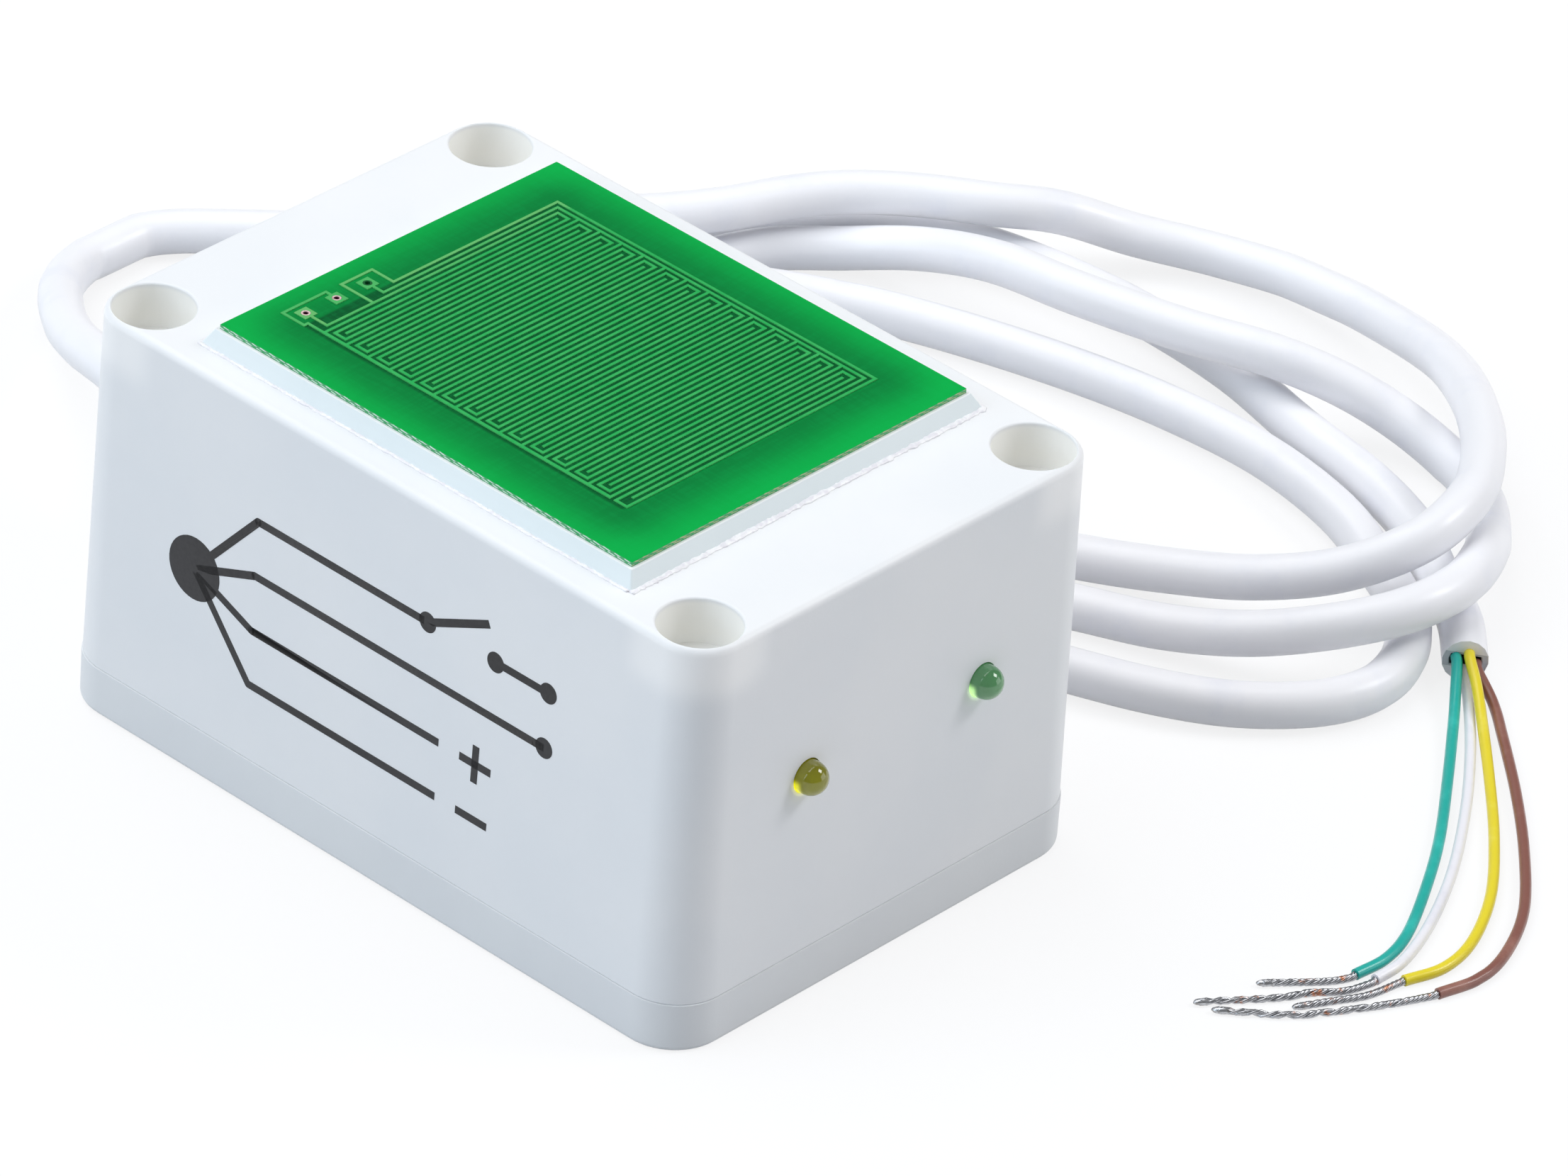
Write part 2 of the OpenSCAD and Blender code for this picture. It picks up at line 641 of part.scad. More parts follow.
module electrode_comb_b() {
  tip = bus_a_y - 2 * line_pitch;
  fingers = [for (k = [0:finger_count - 1]) 4 * k + 2];
  start_x = line_x(first_line) - line_pitch;
  color([0.25, 0.75, 0.4]) metal() {
    polygon(comb_outline(fingers, bus_b_y, tip, bus_width));
    polygon(strip([[line_x(fingers[0]), bus_b_y], [start_x, bus_b_y], [start_x, jog_y],
      [pad_corner_x, jog_y], [pad_corner_x, pad_2_y], [pad_x, pad_2_y]], line_width));
    pad(pads[1]);
  }
}

module guard_trace() {
  low = bus_b_y + line_pitch;
  high = bus_a_y - line_pitch;
  rows = [for (k = [0:2 * finger_count - 1]) 2 * k + 1];
  meander = [for (k = [0:len(rows) - 1]) let (
      up = k % 2 == 0, start = up ? low : high, end = up ? high : low, x = line_x(rows[k]),
      first = k == 0 ? pad_1_y : start, final = k == len(rows) - 1 ? bus_b_y : end)
    each [[x, first], [x, final]]];
  out_x = line_x(last_line + 1);
  left_x = line_x(first_line - 1);
  branch_y = (pad_2_y + pad_3_y) / 2;
  rim_y = pad_3_y + pad_pitch / 2;
  color([0.35, 0.7, 0.4]) metal() {
    polygon(strip(concat([[pad_x, pad_1_y]], meander, [[out_x, bus_b_y],
      [out_x, bus_a_y + line_pitch], [left_x, bus_a_y + line_pitch], [left_x, rim_y],
      [pad_corner_x, rim_y], [pad_corner_x, branch_y], [pad_x, branch_y]]), line_width));
    polygon(strip([[pad_x, branch_y], [line_x(rows[0]), branch_y]], line_width));
    pad(pads[0]);
  }
}

module sensor_vias() {
  color([0.85, 0.6, 0.5]) for (p = pads) difference() {
    post(p.x, p.y, plinth_top, metal_top, via_radius);
    post(p.x, p.y, plinth_top - overrun, metal_top + overrun, via_bore / 2);
  }
}

module sensor_leads() {
  color([0.8, 0.8, 0.82]) for (p = pads)
    post(p.x, p.y, circuit_top, board_top - lead_depth, lead_radius);
}

// Lamp with its flange inside the wall and its round tip outside
module lamp(y) {
  translate([lamp_back_x, y, lamp_height]) rotate([0, 90, 0]) rotate_extrude() polygon(concat(
    [[0, 0], [lamp_flange_radius, 0], [lamp_flange_radius, lamp_flange],
      [lamp_radius, lamp_flange]],
    [for (k = [0:2 * edge_steps]) let (a = 90 * k / (2 * edge_steps))
      [lamp_radius * cos(a), lamp_length - lamp_radius + lamp_radius * sin(a)]]));
}

module led_yellow() {
  color([0.5, 0.5, 0.05]) lamp(-lamp_offset);
}

module led_green() {
  color([0.35, 0.6, 0.4]) lamp(lamp_offset);
}

module led_leads() {
  bend_x = circuit_half_length - lamp_lead_inset;
  color([0.8, 0.8, 0.82]) for (y = [-lamp_offset, lamp_offset], s = [-0.5, 0.5])
    tube([for (p = [[lamp_back_x, lamp_height], [bend_x + lamp_lead_width, lamp_height],
        [bend_x, lamp_height - lamp_lead_width], [bend_x, circuit_top]])
      [p.x, y + s * lamp_lead_spacing, p.y]], lamp_lead_width, 6, [0, 1, 0]);
}

module main_board() {
  color([0.05, 0.4, 0.25]) difference() {
    block([-circuit_half_length, -circuit_half_depth, circuit_height],
      [circuit_half_length, circuit_half_depth, circuit_top]);
    at_standoffs() post(0, 0, circuit_height - overrun, circuit_top + overrun,
      board_screw_width / 2 + fit_gap);
  }
}

module board_screws() {
  color([0.75, 0.76, 0.78]) at_standoffs() {
    post(0, 0, circuit_top, circuit_top + board_head_height, board_head_radius);
    post(0, 0, circuit_height - board_screw_depth + seat_gap, circuit_top,
      board_screw_width / 2);
  }
}

// Things inside the relay are placed from the relay's middle
module in_relay() {
  translate([relay_x, relay_y, 0]) children();
}

module relay_base() {
  x = relay_length / 2 - relay_wall - fit_gap;
  y = relay_depth / 2 - relay_wall - fit_gap;
  color([0.1, 0.1, 0.12]) in_relay() block([-x, -y, circuit_top], [x, y, relay_floor]);
}

module relay_bobbin() {
  hub_radius = core_radius + fit_gap + hub_wall;
  color([0.85, 0.82, 0.7]) in_relay() difference() {
    union() {
      post(coil_x, 0, bobbin_floor, bobbin_floor + flange_thickness, coil_radius);
      post(coil_x, 0, bobbin_floor, bobbin_floor + bobbin_height, hub_radius);
      post(coil_x, 0, bobbin_floor + bobbin_height - flange_thickness,
        bobbin_floor + bobbin_height, coil_radius);
    }
    post(coil_x, 0, bobbin_floor - overrun, bobbin_floor + bobbin_height + overrun,
      core_radius + fit_gap);
  }
}

module relay_winding() {
  inner = core_radius + hub_wall + 2 * fit_gap;
  low = bobbin_floor + flange_thickness + fit_gap;
  high = bobbin_floor + bobbin_height - flange_thickness - fit_gap;
  color([0.75, 0.4, 0.2]) in_relay() difference() {
    post(coil_x, 0, low, high, coil_radius - winding_inset);
    post(coil_x, 0, low - overrun, high + overrun, inner);
  }
}

module relay_core() {
  color([0.6, 0.6, 0.62]) in_relay() {
    post(coil_x, 0, bobbin_floor, pole_face, core_radius);
    post(coil_x, 0, bobbin_floor + bobbin_height, pole_face, pole_radius);
  }
}

module relay_yoke() {
  top = armature_floor - seat_gap;
  w = yoke_width / 2;
  color([0.65, 0.66, 0.68]) in_relay() union() {
    block([leg_x, -w, relay_floor], [coil_x + pole_radius, w, bobbin_floor]);
    block([leg_x, -w, relay_floor], [leg_x + yoke_thickness, w, top]);
  }
}

module relay_armature() {
  w = yoke_width / 2;
  color([0.7, 0.71, 0.73]) in_relay()
    block([leg_x, -w, armature_floor], [coil_x + pole_radius + armature_overhang, w, armature_top]);
}

module relay_contact_spring() {
  w = spring_width / 2;
  start = hinge_x + yoke_thickness;
  color([0.85, 0.65, 0.35]) in_relay() union() {
    block([start, -w, armature_top], [contact_x + 2 * button_radius, w, spring_top]);
    post(contact_x, 0, armature_top - button_height, spring_top + button_height, button_radius);
  }
}

module relay_fixed_contacts() {
  open_top = armature_top - button_height - contact_travel - contact_gap;
  shut_low = spring_top + button_height + contact_gap;
  x = [contact_x - contact_width / 2, contact_x + contact_width / 2];
  color([0.8, 0.7, 0.4]) in_relay() {
    union() {
      block([x[0], -contact_reach, open_top - contact_thickness], [x[1], button_radius, open_top]);
      block([x[0], -contact_reach, relay_floor], [x[1], contact_thickness - contact_reach, open_top]);
    }
    union() {
      block([x[0], -button_radius, shut_low], [x[1], contact_reach, shut_low + contact_thickness]);
      block([x[0], contact_reach - contact_thickness, relay_floor],
        [x[1], contact_reach, shut_low + contact_thickness]);
    }
  }
}

module relay_cover() {
  x = relay_length / 2;
  y = relay_depth / 2;
  top = circuit_top + relay_height;
  color([0.1, 0.25, 0.5]) in_relay() difference() {
    block([-x, -y, circuit_top], [x, y, top]);
    block([relay_wall - x, relay_wall - y, circuit_top - overrun],
      [x - relay_wall, y - relay_wall, top - relay_wall]);
  }
}

module comparator_ic() {
  low = circuit_top + chip_lift;
  y = chip_depth / 2;
  leg_top = low + chip_height / 2;
  color([0.12, 0.12, 0.13]) translate([chip_x, chip_y, 0]) union() {
    block([-chip_length / 2, -y, low], [chip_length / 2, y, low + chip_height]);
    for (k = [-1.5:1:1.5], s = [-1, 1])
      translate([k * chip_leg_pitch, s * (y + chip_leg_reach / 2), circuit_top])
        linear_extrude(leg_top - circuit_top)
          square([chip_leg_width, chip_leg_reach], center = true);
  }
}

// Small three-legged part with a flat face
module small_transistor(x) {
  low = circuit_top + small_lift;
  translate([x, small_y, 0]) union() {
    difference() {
      post(0, 0, low, low + small_height, small_radius);
      block([-small_radius - overrun, small_flat, low - overrun],
        [small_radius + overrun, small_radius + overrun, low + small_height + overrun]);
    }
    for (k = [-1:1]) translate([k * small_leg_pitch, 0, circuit_top])
      linear_extrude(small_lift + small_leg_width) square(small_leg_width, center = true);
  }
}

module voltage_regulator() {
  color([0.1, 0.1, 0.1]) small_transistor(chip_x - chip_length / 4 - fit_gap);
}

module driver_transistor() {
  color([0.1, 0.1, 0.1]) small_transistor(chip_x + chip_length / 4 + small_row_gap);
}

// Round part lying on the board along X, on two bent leads
module axial_part(radius, length) {
  z = circuit_top + axial_lift + radius;
  reach = length / 2 + axial_bend;
  translate([-length / 2, 0, z]) rotate([0, 90, 0]) cylinder(h = length, r = radius);
  for (s = [-1, 1])
    tube([[s * length / 2 - s * overrun, 0, z], [s * (reach - axial_lead_width / 2), 0, z],
      [s * reach, 0, z - axial_lead_width / 2], [s * reach, 0, circuit_top]],
      axial_lead_width, 6, [0, 1, 0]);
}

module flyback_diode() {
  color([0.15, 0.15, 0.17]) translate([diode_x, diode_y, 0]) rotate([0, 0, 90])
    union() axial_part(diode_radius, diode_length);
}

module resistors() {
  color([0.8, 0.7, 0.55]) for (k = [0:resistor_count - 1])
    translate([resistor_x, resistor_y + k * resistor_pitch, 0])
      union() axial_part(resistor_radius, resistor_length);
}

module filter_capacitor() {
  groove = can_radius - can_groove;
  top = circuit_top + can_height;
  low = circuit_top + can_groove_height;
  color([0.15, 0.18, 0.3]) translate([can_x, can_y, 0]) rotate_extrude() polygon([
    [0, circuit_top], [can_radius - can_sleeve_step, circuit_top],
    [can_radius, circuit_top + can_sleeve_step], [can_radius, low - can_groove],
    [groove, low], [can_radius, low + can_groove], [can_radius, top - can_sleeve_step],
    [can_radius - can_sleeve_step, top], [0, top]]);
}

// Things round the cable's inlet are placed along its axis, outwards
module along_inlet() {
  translate([0, 0, inlet_height]) rotate([0, -90, 0]) children();
}

module cable_grommet() {
  bore = cable_radius + fit_gap;
  color([0.9, 0.91, 0.92]) along_inlet() rotate_extrude() polygon([
    [bore, -grommet_inner_x - grommet_flange],
    [grommet_flange_radius, -grommet_inner_x - grommet_flange],
    [grommet_flange_radius, -grommet_inner_x], [grommet_neck_radius, -grommet_inner_x],
    [grommet_neck_radius, -grommet_outer_x], [grommet_flange_radius, -grommet_outer_x],
    [grommet_flange_radius, -grommet_outer_x + grommet_flange],
    [boot_root_radius, -grommet_outer_x + grommet_flange],
    [bore + boot_wall, -boot_end_x], [bore, -boot_end_x]]);
}

module cable_tail() {
  color([0.94, 0.95, 0.96]) translate([boot_end_x, 0, inlet_height]) rotate([0, 90, 0])
    cylinder(h = tail_end_x - boot_end_x, r = cable_radius);
}

module cable_tie() {
  inner = cable_radius + fit_gap;
  y = tie_head_length / 2;
  color([0.9, 0.9, 0.88]) translate([tie_x, 0, inlet_height]) difference() {
    union() {
      rotate([0, 90, 0]) cylinder(h = tie_width, r = inner + tie_thickness);
      block([0, -y, cable_radius], [tie_width, y, inner + tie_thickness + tie_head_height]);
    }
    translate([-overrun, 0, 0]) rotate([0, 90, 0]) cylinder(h = tie_width + 2 * overrun, r = inner);
  }
}

// Core inside the case, from the cable's end to the circuit board
module inner_wire(side, level, row) {
  shift = inner_wire_share * core_width;
  end_x = inner_wire_inset - circuit_half_length;
  y = row * inner_wire_pitch;
  z = inlet_height + level * shift;
  tube([[tail_end_x, side * shift, z], [tail_end_x + core_width, side * shift, z],
    [-circuit_half_length, y, z + inner_wire_arch / 2],
    [end_x - core_width / 2, y, inlet_height + inner_wire_arch],
    [end_x, y, circuit_top + core_width], [end_x, y, circuit_top]],
    core_width, 6, [0, 1, 0]);
}

module inner_wire_green() {
  color([0.12, 0.65, 0.57]) inner_wire(-1, -1, -1.5);
}

module inner_wire_white() {
  color([0.93, 0.93, 0.95]) inner_wire(-1, 1, -0.5);
}

module inner_wire_yellow() {
  color([0.88, 0.8, 0.16]) inner_wire(1, 1, 0.5);
}

module inner_wire_brown() {
  color([0.5, 0.33, 0.3]) inner_wire(1, -1, 1.5);
}

module cable() {
  color([0.94, 0.95, 0.96]) cord(cable_route, cable_width);
}

module wire_green() {
  color([0.12, 0.65, 0.57]) cord(green_route, core_width);
}

module wire_white() {
  color([0.93, 0.93, 0.95]) cord(white_route, core_width);
}

module wire_yellow() {
  color([0.88, 0.8, 0.16]) cord(yellow_route, core_width);
}

module wire_brown() {
  color([0.5, 0.33, 0.3]) cord(brown_route, core_width);
}

module end_green() {
  color([0.8, 0.78, 0.76]) cord(green_end_route, strand_width);
}

module end_white() {
  color([0.8, 0.78, 0.76]) cord(white_end_route, strand_width);
}

module end_yellow() {
  color([0.8, 0.78, 0.76]) cord(yellow_end_route, strand_width);
}

module end_brown() {
  color([0.8, 0.78, 0.76]) cord(brown_end_route, strand_width);
}

echo("Armature hinge", [relay_x + hinge_x, relay_y, hinge_z]);
echo("Least gap of the cable to itself",
  tube_gap([for (p = cable_route) lifted(p, cable_width)], cable_width, 6));

housing();
base_plate();
base_seal();
base_screws();
sensor_plinth();
plinth_adhesive();
sensor_board();
electrode_comb_a();
electrode_comb_b();
guard_trace();
sensor_vias();
sensor_leads();
led_yellow();
led_green();
led_leads();
main_board();
board_screws();
relay_base();
relay_bobbin();
relay_winding();
relay_core();
relay_yoke();
relay_armature();
relay_contact_spring();
relay_fixed_contacts();
relay_cover();
comparator_ic();
voltage_regulator();
driver_transistor();
flyback_diode();
filter_capacitor();
resistors();
cable_grommet();
cable_tie();
cable_tail();
inner_wire_green();
inner_wire_white();
inner_wire_yellow();
inner_wire_brown();
cable();
wire_green();
wire_white();
wire_yellow();
wire_brown();
end_green();
end_white();
end_yellow();
end_brown();
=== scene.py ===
"""Looks of a rain sensor: a white screw-down box with a comb-patterned sensing board,
two signal lamps and a four-core cable in loose loops. Lengths are in metres, in the
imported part's own frame."""

from __future__ import annotations

import logging
import math
import random
from dataclasses import dataclass, field
from enum import Enum
from typing import Iterable, Sequence

import bmesh
import bpy
from mathutils import Matrix, Vector


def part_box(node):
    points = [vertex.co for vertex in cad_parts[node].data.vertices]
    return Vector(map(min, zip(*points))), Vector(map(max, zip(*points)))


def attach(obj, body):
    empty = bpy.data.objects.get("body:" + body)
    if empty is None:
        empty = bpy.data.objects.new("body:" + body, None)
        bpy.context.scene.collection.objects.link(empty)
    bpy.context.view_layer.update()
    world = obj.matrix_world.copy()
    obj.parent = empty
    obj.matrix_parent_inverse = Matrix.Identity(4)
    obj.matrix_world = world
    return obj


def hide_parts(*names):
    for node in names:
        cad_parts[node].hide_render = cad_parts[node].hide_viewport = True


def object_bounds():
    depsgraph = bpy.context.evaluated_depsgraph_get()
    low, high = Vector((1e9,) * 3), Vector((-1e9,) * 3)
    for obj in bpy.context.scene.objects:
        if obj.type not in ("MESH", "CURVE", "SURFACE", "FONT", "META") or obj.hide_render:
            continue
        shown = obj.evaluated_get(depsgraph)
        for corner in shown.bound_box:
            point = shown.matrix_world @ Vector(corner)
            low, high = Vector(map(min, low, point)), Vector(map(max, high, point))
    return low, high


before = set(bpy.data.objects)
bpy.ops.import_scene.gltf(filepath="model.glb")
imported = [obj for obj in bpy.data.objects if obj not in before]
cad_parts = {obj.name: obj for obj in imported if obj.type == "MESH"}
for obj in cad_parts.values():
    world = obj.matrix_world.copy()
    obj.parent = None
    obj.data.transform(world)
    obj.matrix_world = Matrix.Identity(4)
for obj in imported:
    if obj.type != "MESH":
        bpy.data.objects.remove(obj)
CAD_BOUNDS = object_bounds()

log = logging.getLogger("rain_sensor")

MM = 0.001
CASE = "case"
CASE_TOP = 39 * MM
FIXING = (31.5 * MM, 20 * MM)
LAMP_PLACE = (10.6 * MM, 22.2 * MM)
# Way, across and down the end wall, along which the painted lamp light and lens shade lie.
LIGHT_WAY = (-0.72, -0.69)
UP_TO_X = Matrix.Rotation(math.radians(90), 4, "Y")
SHARP_ANGLE = math.radians(32)
CORNER_FACETS = 14
OVER = 1 * MM
WELD = 0.0005 * MM
CUT_WELD = 0.0008 * MM

Colour = tuple[float, float, float, float]
Point = tuple[float, float, float]
Pair = tuple[float, float]


def srgb(red: int, green: int, blue: int) -> Colour:
    """Linear colour of a screen colour.

    Args:
        red: Red from 0 to 255.
        green: Green from 0 to 255.
        blue: Blue from 0 to 255.

    Returns:
        The linear red, green and blue with an alpha of 1.
    """
    def linear(value: int) -> float:
        """One channel, made linear."""
        share = value / 255
        return share / 12.92 if share <= 0.04045 else ((share + 0.055) / 1.055) ** 2.4

    return linear(red), linear(green), linear(blue), 1.0


def dimmed(colour: Colour, share: float) -> Colour:
    """A colour with a share of its light."""
    return (*(share * part for part in colour[:3]), 1.0)


def around(value: float, offsets: Pair) -> Pair:
    """A range whose two ends are given as offsets from a value."""
    return value + offsets[0], value + offsets[1]


# --------------------------------------------------------------------------- finishes


class Graph:
    """Node tree of one material, with short ways to add and join its nodes."""

    def __init__(self, name: str) -> None:
        """Starts a material with a principled shader.

        Args:
            name: The material's name.
        """
        self.material = bpy.data.materials.new(name)
        self.material.use_nodes = True
        self.nodes = self.material.node_tree.nodes
        self.links = self.material.node_tree.links
        self.nodes.clear()
        self.output = self.nodes.new("ShaderNodeOutputMaterial")
        self.shader = self.nodes.new("ShaderNodeBsdfPrincipled")
        self.links.new(self.shader.outputs[0], self.output.inputs[0])
        self.place = self.nodes.new("ShaderNodeTexCoord").outputs["Object"]

    def set(self, **values: object) -> None:
        """Sets or links the shader's sockets, named with underscores for spaces."""
        self.fill(self.shader, values)

    def fill(self, node: bpy.types.Node, values: dict[str, object]) -> None:
        """Sets or links a node's input sockets.

        Args:
            node: The node.
            values: Socket name, with underscores for spaces, or number, to value or output.
        """
        for key, value in values.items():
            name = key.replace("_", " ")
            socket = node.inputs[int(key[2:])] if key.startswith("i_") else node.inputs[name]
            if isinstance(value, bpy.types.NodeSocket):
                self.links.new(value, socket)
            else:
                socket.default_value = value

    def add(self, kind: str, attrs: dict[str, object] | None = None,
            **values: object) -> bpy.types.NodeSocket:
        """Adds a node.

        Args:
            kind: The node's type, without its ShaderNode prefix.
            attrs: Settings of the node itself.
            **values: Its inputs.

        Returns:
            Its first output.
        """
        node = self.nodes.new("ShaderNode" + kind)
        for key, value in (attrs or {}).items():
            setattr(node, key, value)
        self.fill(node, values)
        return node.outputs[0]

    def math(self, operation: str, *terms: object) -> bpy.types.NodeSocket:
        """Joins one to three numbers with an arithmetic node."""
        values = {f"i_{k}": term for k, term in enumerate(terms)}
        return self.add("Math", {"operation": operation}, **values)

    def plus(self, first: object, second: object) -> bpy.types.NodeSocket:
        """The sum of two numbers."""
        return self.math("ADD", first, second)

    def minus(self, first: object, second: object) -> bpy.types.NodeSocket:
        """The first number less the second."""
        return self.math("SUBTRACT", first, second)

    def times(self, first: object, second: object) -> bpy.types.NodeSocket:
        """The product of two numbers."""
        return self.math("MULTIPLY", first, second)

    def noise(self, scale: float, detail: float = 3.0, stretch: Point = (1, 1, 1),
              rough: float = 0.5) -> bpy.types.NodeSocket:
        """Noise over the piece.

        Args:
            scale: Waves per metre.
            detail: Octaves.
            stretch: Factors on the three axes.
            rough: How strong the small waves are.

        Returns:
            A value from 0 to 1.
        """
        place = self.add("Mapping", Vector=self.place, Scale=stretch)
        return self.add("TexNoise", Vector=place, Scale=scale, Detail=detail, Roughness=rough)

    def span(self, value: object, low: float, high: float, smooth: bool = True,
             to: Pair = (0.0, 1.0)) -> bpy.types.NodeSocket:
        """Maps one range onto another, held at its ends.

        Args:
            value: The number to map.
            low: Start of its range.
            high: End of its range.
            smooth: With an eased start and end.
            to: Start and end of the new range.

        Returns:
            The mapped number.
        """
        kind = "SMOOTHSTEP" if smooth else "LINEAR"
        return self.add("MapRange", {"interpolation_type": kind}, Value=value,
                        From_Min=low, From_Max=high, To_Min=to[0], To_Max=to[1])

    def mix(self, share: object, first: object, second: object) -> bpy.types.NodeSocket:
        """Mixes two colours.

        Args:
            share: How much of the second there is.
            first: One colour.
            second: The other.

        Returns:
            The mixed colour.
        """
        node = self.nodes.new("ShaderNodeMix")
        node.data_type = "RGBA"
        self.fill(node, {"i_0": share, "i_6": first, "i_7": second})
        return node.outputs[2]

    def bump(self, height: bpy.types.NodeSocket, strength: float, depth: float) -> None:
        """Roughens the surface.

        Args:
            height: A value from 0 to 1.
            strength: Share of the effect.
            depth: Height of the bumps.
        """
        self.set(Normal=self.add("Bump", Strength=strength, Distance=depth, Height=height))

    def distance(self, place: tuple[object, object], centre: Pair) -> bpy.types.NodeSocket:
        """Distance in a plane.

        Args:
            place: Two coordinates.
            centre: Where it is measured from.

        Returns:
            The distance.
        """
        squares = []
        for coordinate, start in zip(place, centre):
            away = self.minus(coordinate, start)
            squares.append(self.times(away, away))
        return self.math("SQRT", self.plus(*squares))

    def axes(self) -> tuple[bpy.types.NodeSocket, ...]:
        """Splits the place on the piece up.

        Returns:
            Its three coordinates.
        """
        node = self.nodes.new("ShaderNodeSeparateXYZ")
        self.links.new(self.place, node.inputs[0])
        return tuple(node.outputs)


@dataclass(frozen=True)
class Finish:
    """A surface finish: a name and a way to build its material."""

    name: str

    def material(self) -> bpy.types.Material:
        """Finds the finish's material, or builds it the first time.

        Returns:
            The material.
        """
        title = "finish_" + self.name
        found = bpy.data.materials.get(title)
        if found:
            return found
        graph = Graph(title)
        self.build(graph)
        return graph.material

    def build(self, graph: Graph) -> None:
        """Builds the nodes in an empty tree."""
        raise NotImplementedError


@dataclass(frozen=True)
class Moulded(Finish):
    """Moulded plastic with a fine spark-eroded grain and faint flow clouds."""

    colour: Colour
    cloud: Colour
    roughness: float = 0.42
    grain: float = 3200.0
    depth: float = 0.012 * MM
    coat: float = 0.0
    clouds: float = 55.0
    gloss: Pair = (-0.05, 0.06)

    def build(self, graph: Graph) -> None:
        """Builds clouds, a varying gloss and the grain.

        Args:
            graph: The empty node tree.
        """
        clouds = graph.span(graph.noise(self.clouds, 4), 0.35, 0.7)
        graph.set(Base_Color=graph.mix(clouds, self.colour, self.cloud), Coat_Weight=self.coat,
                  Coat_Roughness=0.25, Specular_IOR_Level=0.5)
        grain = graph.noise(self.grain, 2)
        graph.set(Roughness=graph.span(grain, 0.2, 0.8, to=around(self.roughness, self.gloss)))
        graph.bump(grain, 0.5, self.depth)


@dataclass(frozen=True)
class CaseSkin(Moulded):
    """The case's plastic, with painted light: a warm glow where the wall is thin beside its
    screw holes, and lamp-coloured spill on the end wall below each lamp.
    """

    # Heights and reaches of the painted glow round the fixing holes' tops.
    glow_foot: Pair = (CASE_TOP - 6 * MM, CASE_TOP - 2.8 * MM)
    glow_top: Pair = (CASE_TOP - 0.1 * MM, CASE_TOP - 0.6 * MM)
    halo: Pair = (6.4 * MM, 4.3 * MM)
    bore_edge: Pair = (3.7 * MM, 4 * MM)
    warm: Colour = (1.0, 0.93, 0.82, 1.0)
    warm_bore: Colour = (1.0, 0.86, 0.38, 1.0)
    warmth: Pair = (0.075, 0.085)
    # Colours, reach and strength of the painted spill of lamp light on the end wall.
    spill: tuple[Colour, Colour] = (srgb(214, 210, 60), srgb(200, 250, 175))
    spill_ring: Pair = (2 * MM, 1.6 * MM)
    spill_side: Pair = (1.1 * MM, 1.6 * MM)
    spill_x: Pair = (34 * MM, 35 * MM)
    spill_strength: float = 0.26

    def build(self, graph: Graph) -> None:
        """Builds the plastic, the painted glow of the thin walls and the lamps' painted spill.

        Args:
            graph: The empty node tree.
        """
        super().build(graph)
        x, y, z = graph.axes()
        away = graph.distance((graph.math("ABSOLUTE", x), graph.math("ABSOLUTE", y)), FIXING)
        # Painted glow: emission where the wall is thin round each fixing hole's top.
        thin = graph.times(graph.span(away, *self.halo), graph.span(z, *self.glow_foot))
        thin = graph.times(thin, graph.span(away, *self.bore_edge, to=self.warmth))
        thin = graph.times(thin, graph.span(z, *self.glow_top))
        # Painted spill: lamp-coloured emission on the end wall, below and beside each lamp.
        aside = graph.minus(graph.math("ABSOLUTE", y), LAMP_PLACE[0])
        aside = graph.times(aside, graph.math("SIGN", y))
        below = graph.minus(z, LAMP_PLACE[1])
        reach = graph.distance((aside, below), (0.0, 0.0))
        toward = graph.plus(graph.times(aside, LIGHT_WAY[0]), graph.times(below, LIGHT_WAY[1]))
        spill = graph.times(graph.span(reach, *self.spill_ring),
                            graph.span(toward, *self.spill_side))
        spill = graph.times(spill, graph.span(x, *self.spill_x))
        hue = graph.mix(graph.span(y, -MM, MM), *self.spill)
        warm = graph.mix(graph.span(away, *reversed(self.bore_edge)), self.warm,
                         self.warm_bore)
        graph.set(Emission_Color=graph.mix(spill, warm, hue),
                  Emission_Strength=graph.plus(graph.times(spill, self.spill_strength), thin))


@dataclass(frozen=True)
class Sheath(Finish):
    """Extruded soft plastic: smooth and glossy, with faint drag waves and scuffs."""

    colour: Colour
    scuff: Colour
    roughness: float = 0.36
    wave: float = 420.0
    depth: float = 0.012 * MM
    coat: float = 0.12
    scuffs: float = 160.0
    gloss: Pair = (-0.05, 0.08)

    def build(self, graph: Graph) -> None:
        """Builds scuffs, a varying gloss and long shallow waves.

        Args:
            graph: The empty node tree.
        """
        scuffs = graph.span(graph.noise(self.scuffs, 5, rough=0.6), 0.5, 0.78)
        graph.set(Base_Color=graph.mix(scuffs, self.colour, self.scuff),
                  Coat_Weight=self.coat, Coat_Roughness=0.2, Specular_IOR_Level=0.45)
        graph.set(Roughness=graph.span(graph.noise(900, 3), 0.3, 0.7,
                                       to=around(self.roughness, self.gloss)))
        graph.bump(graph.noise(self.wave, 2), 0.35, self.depth)


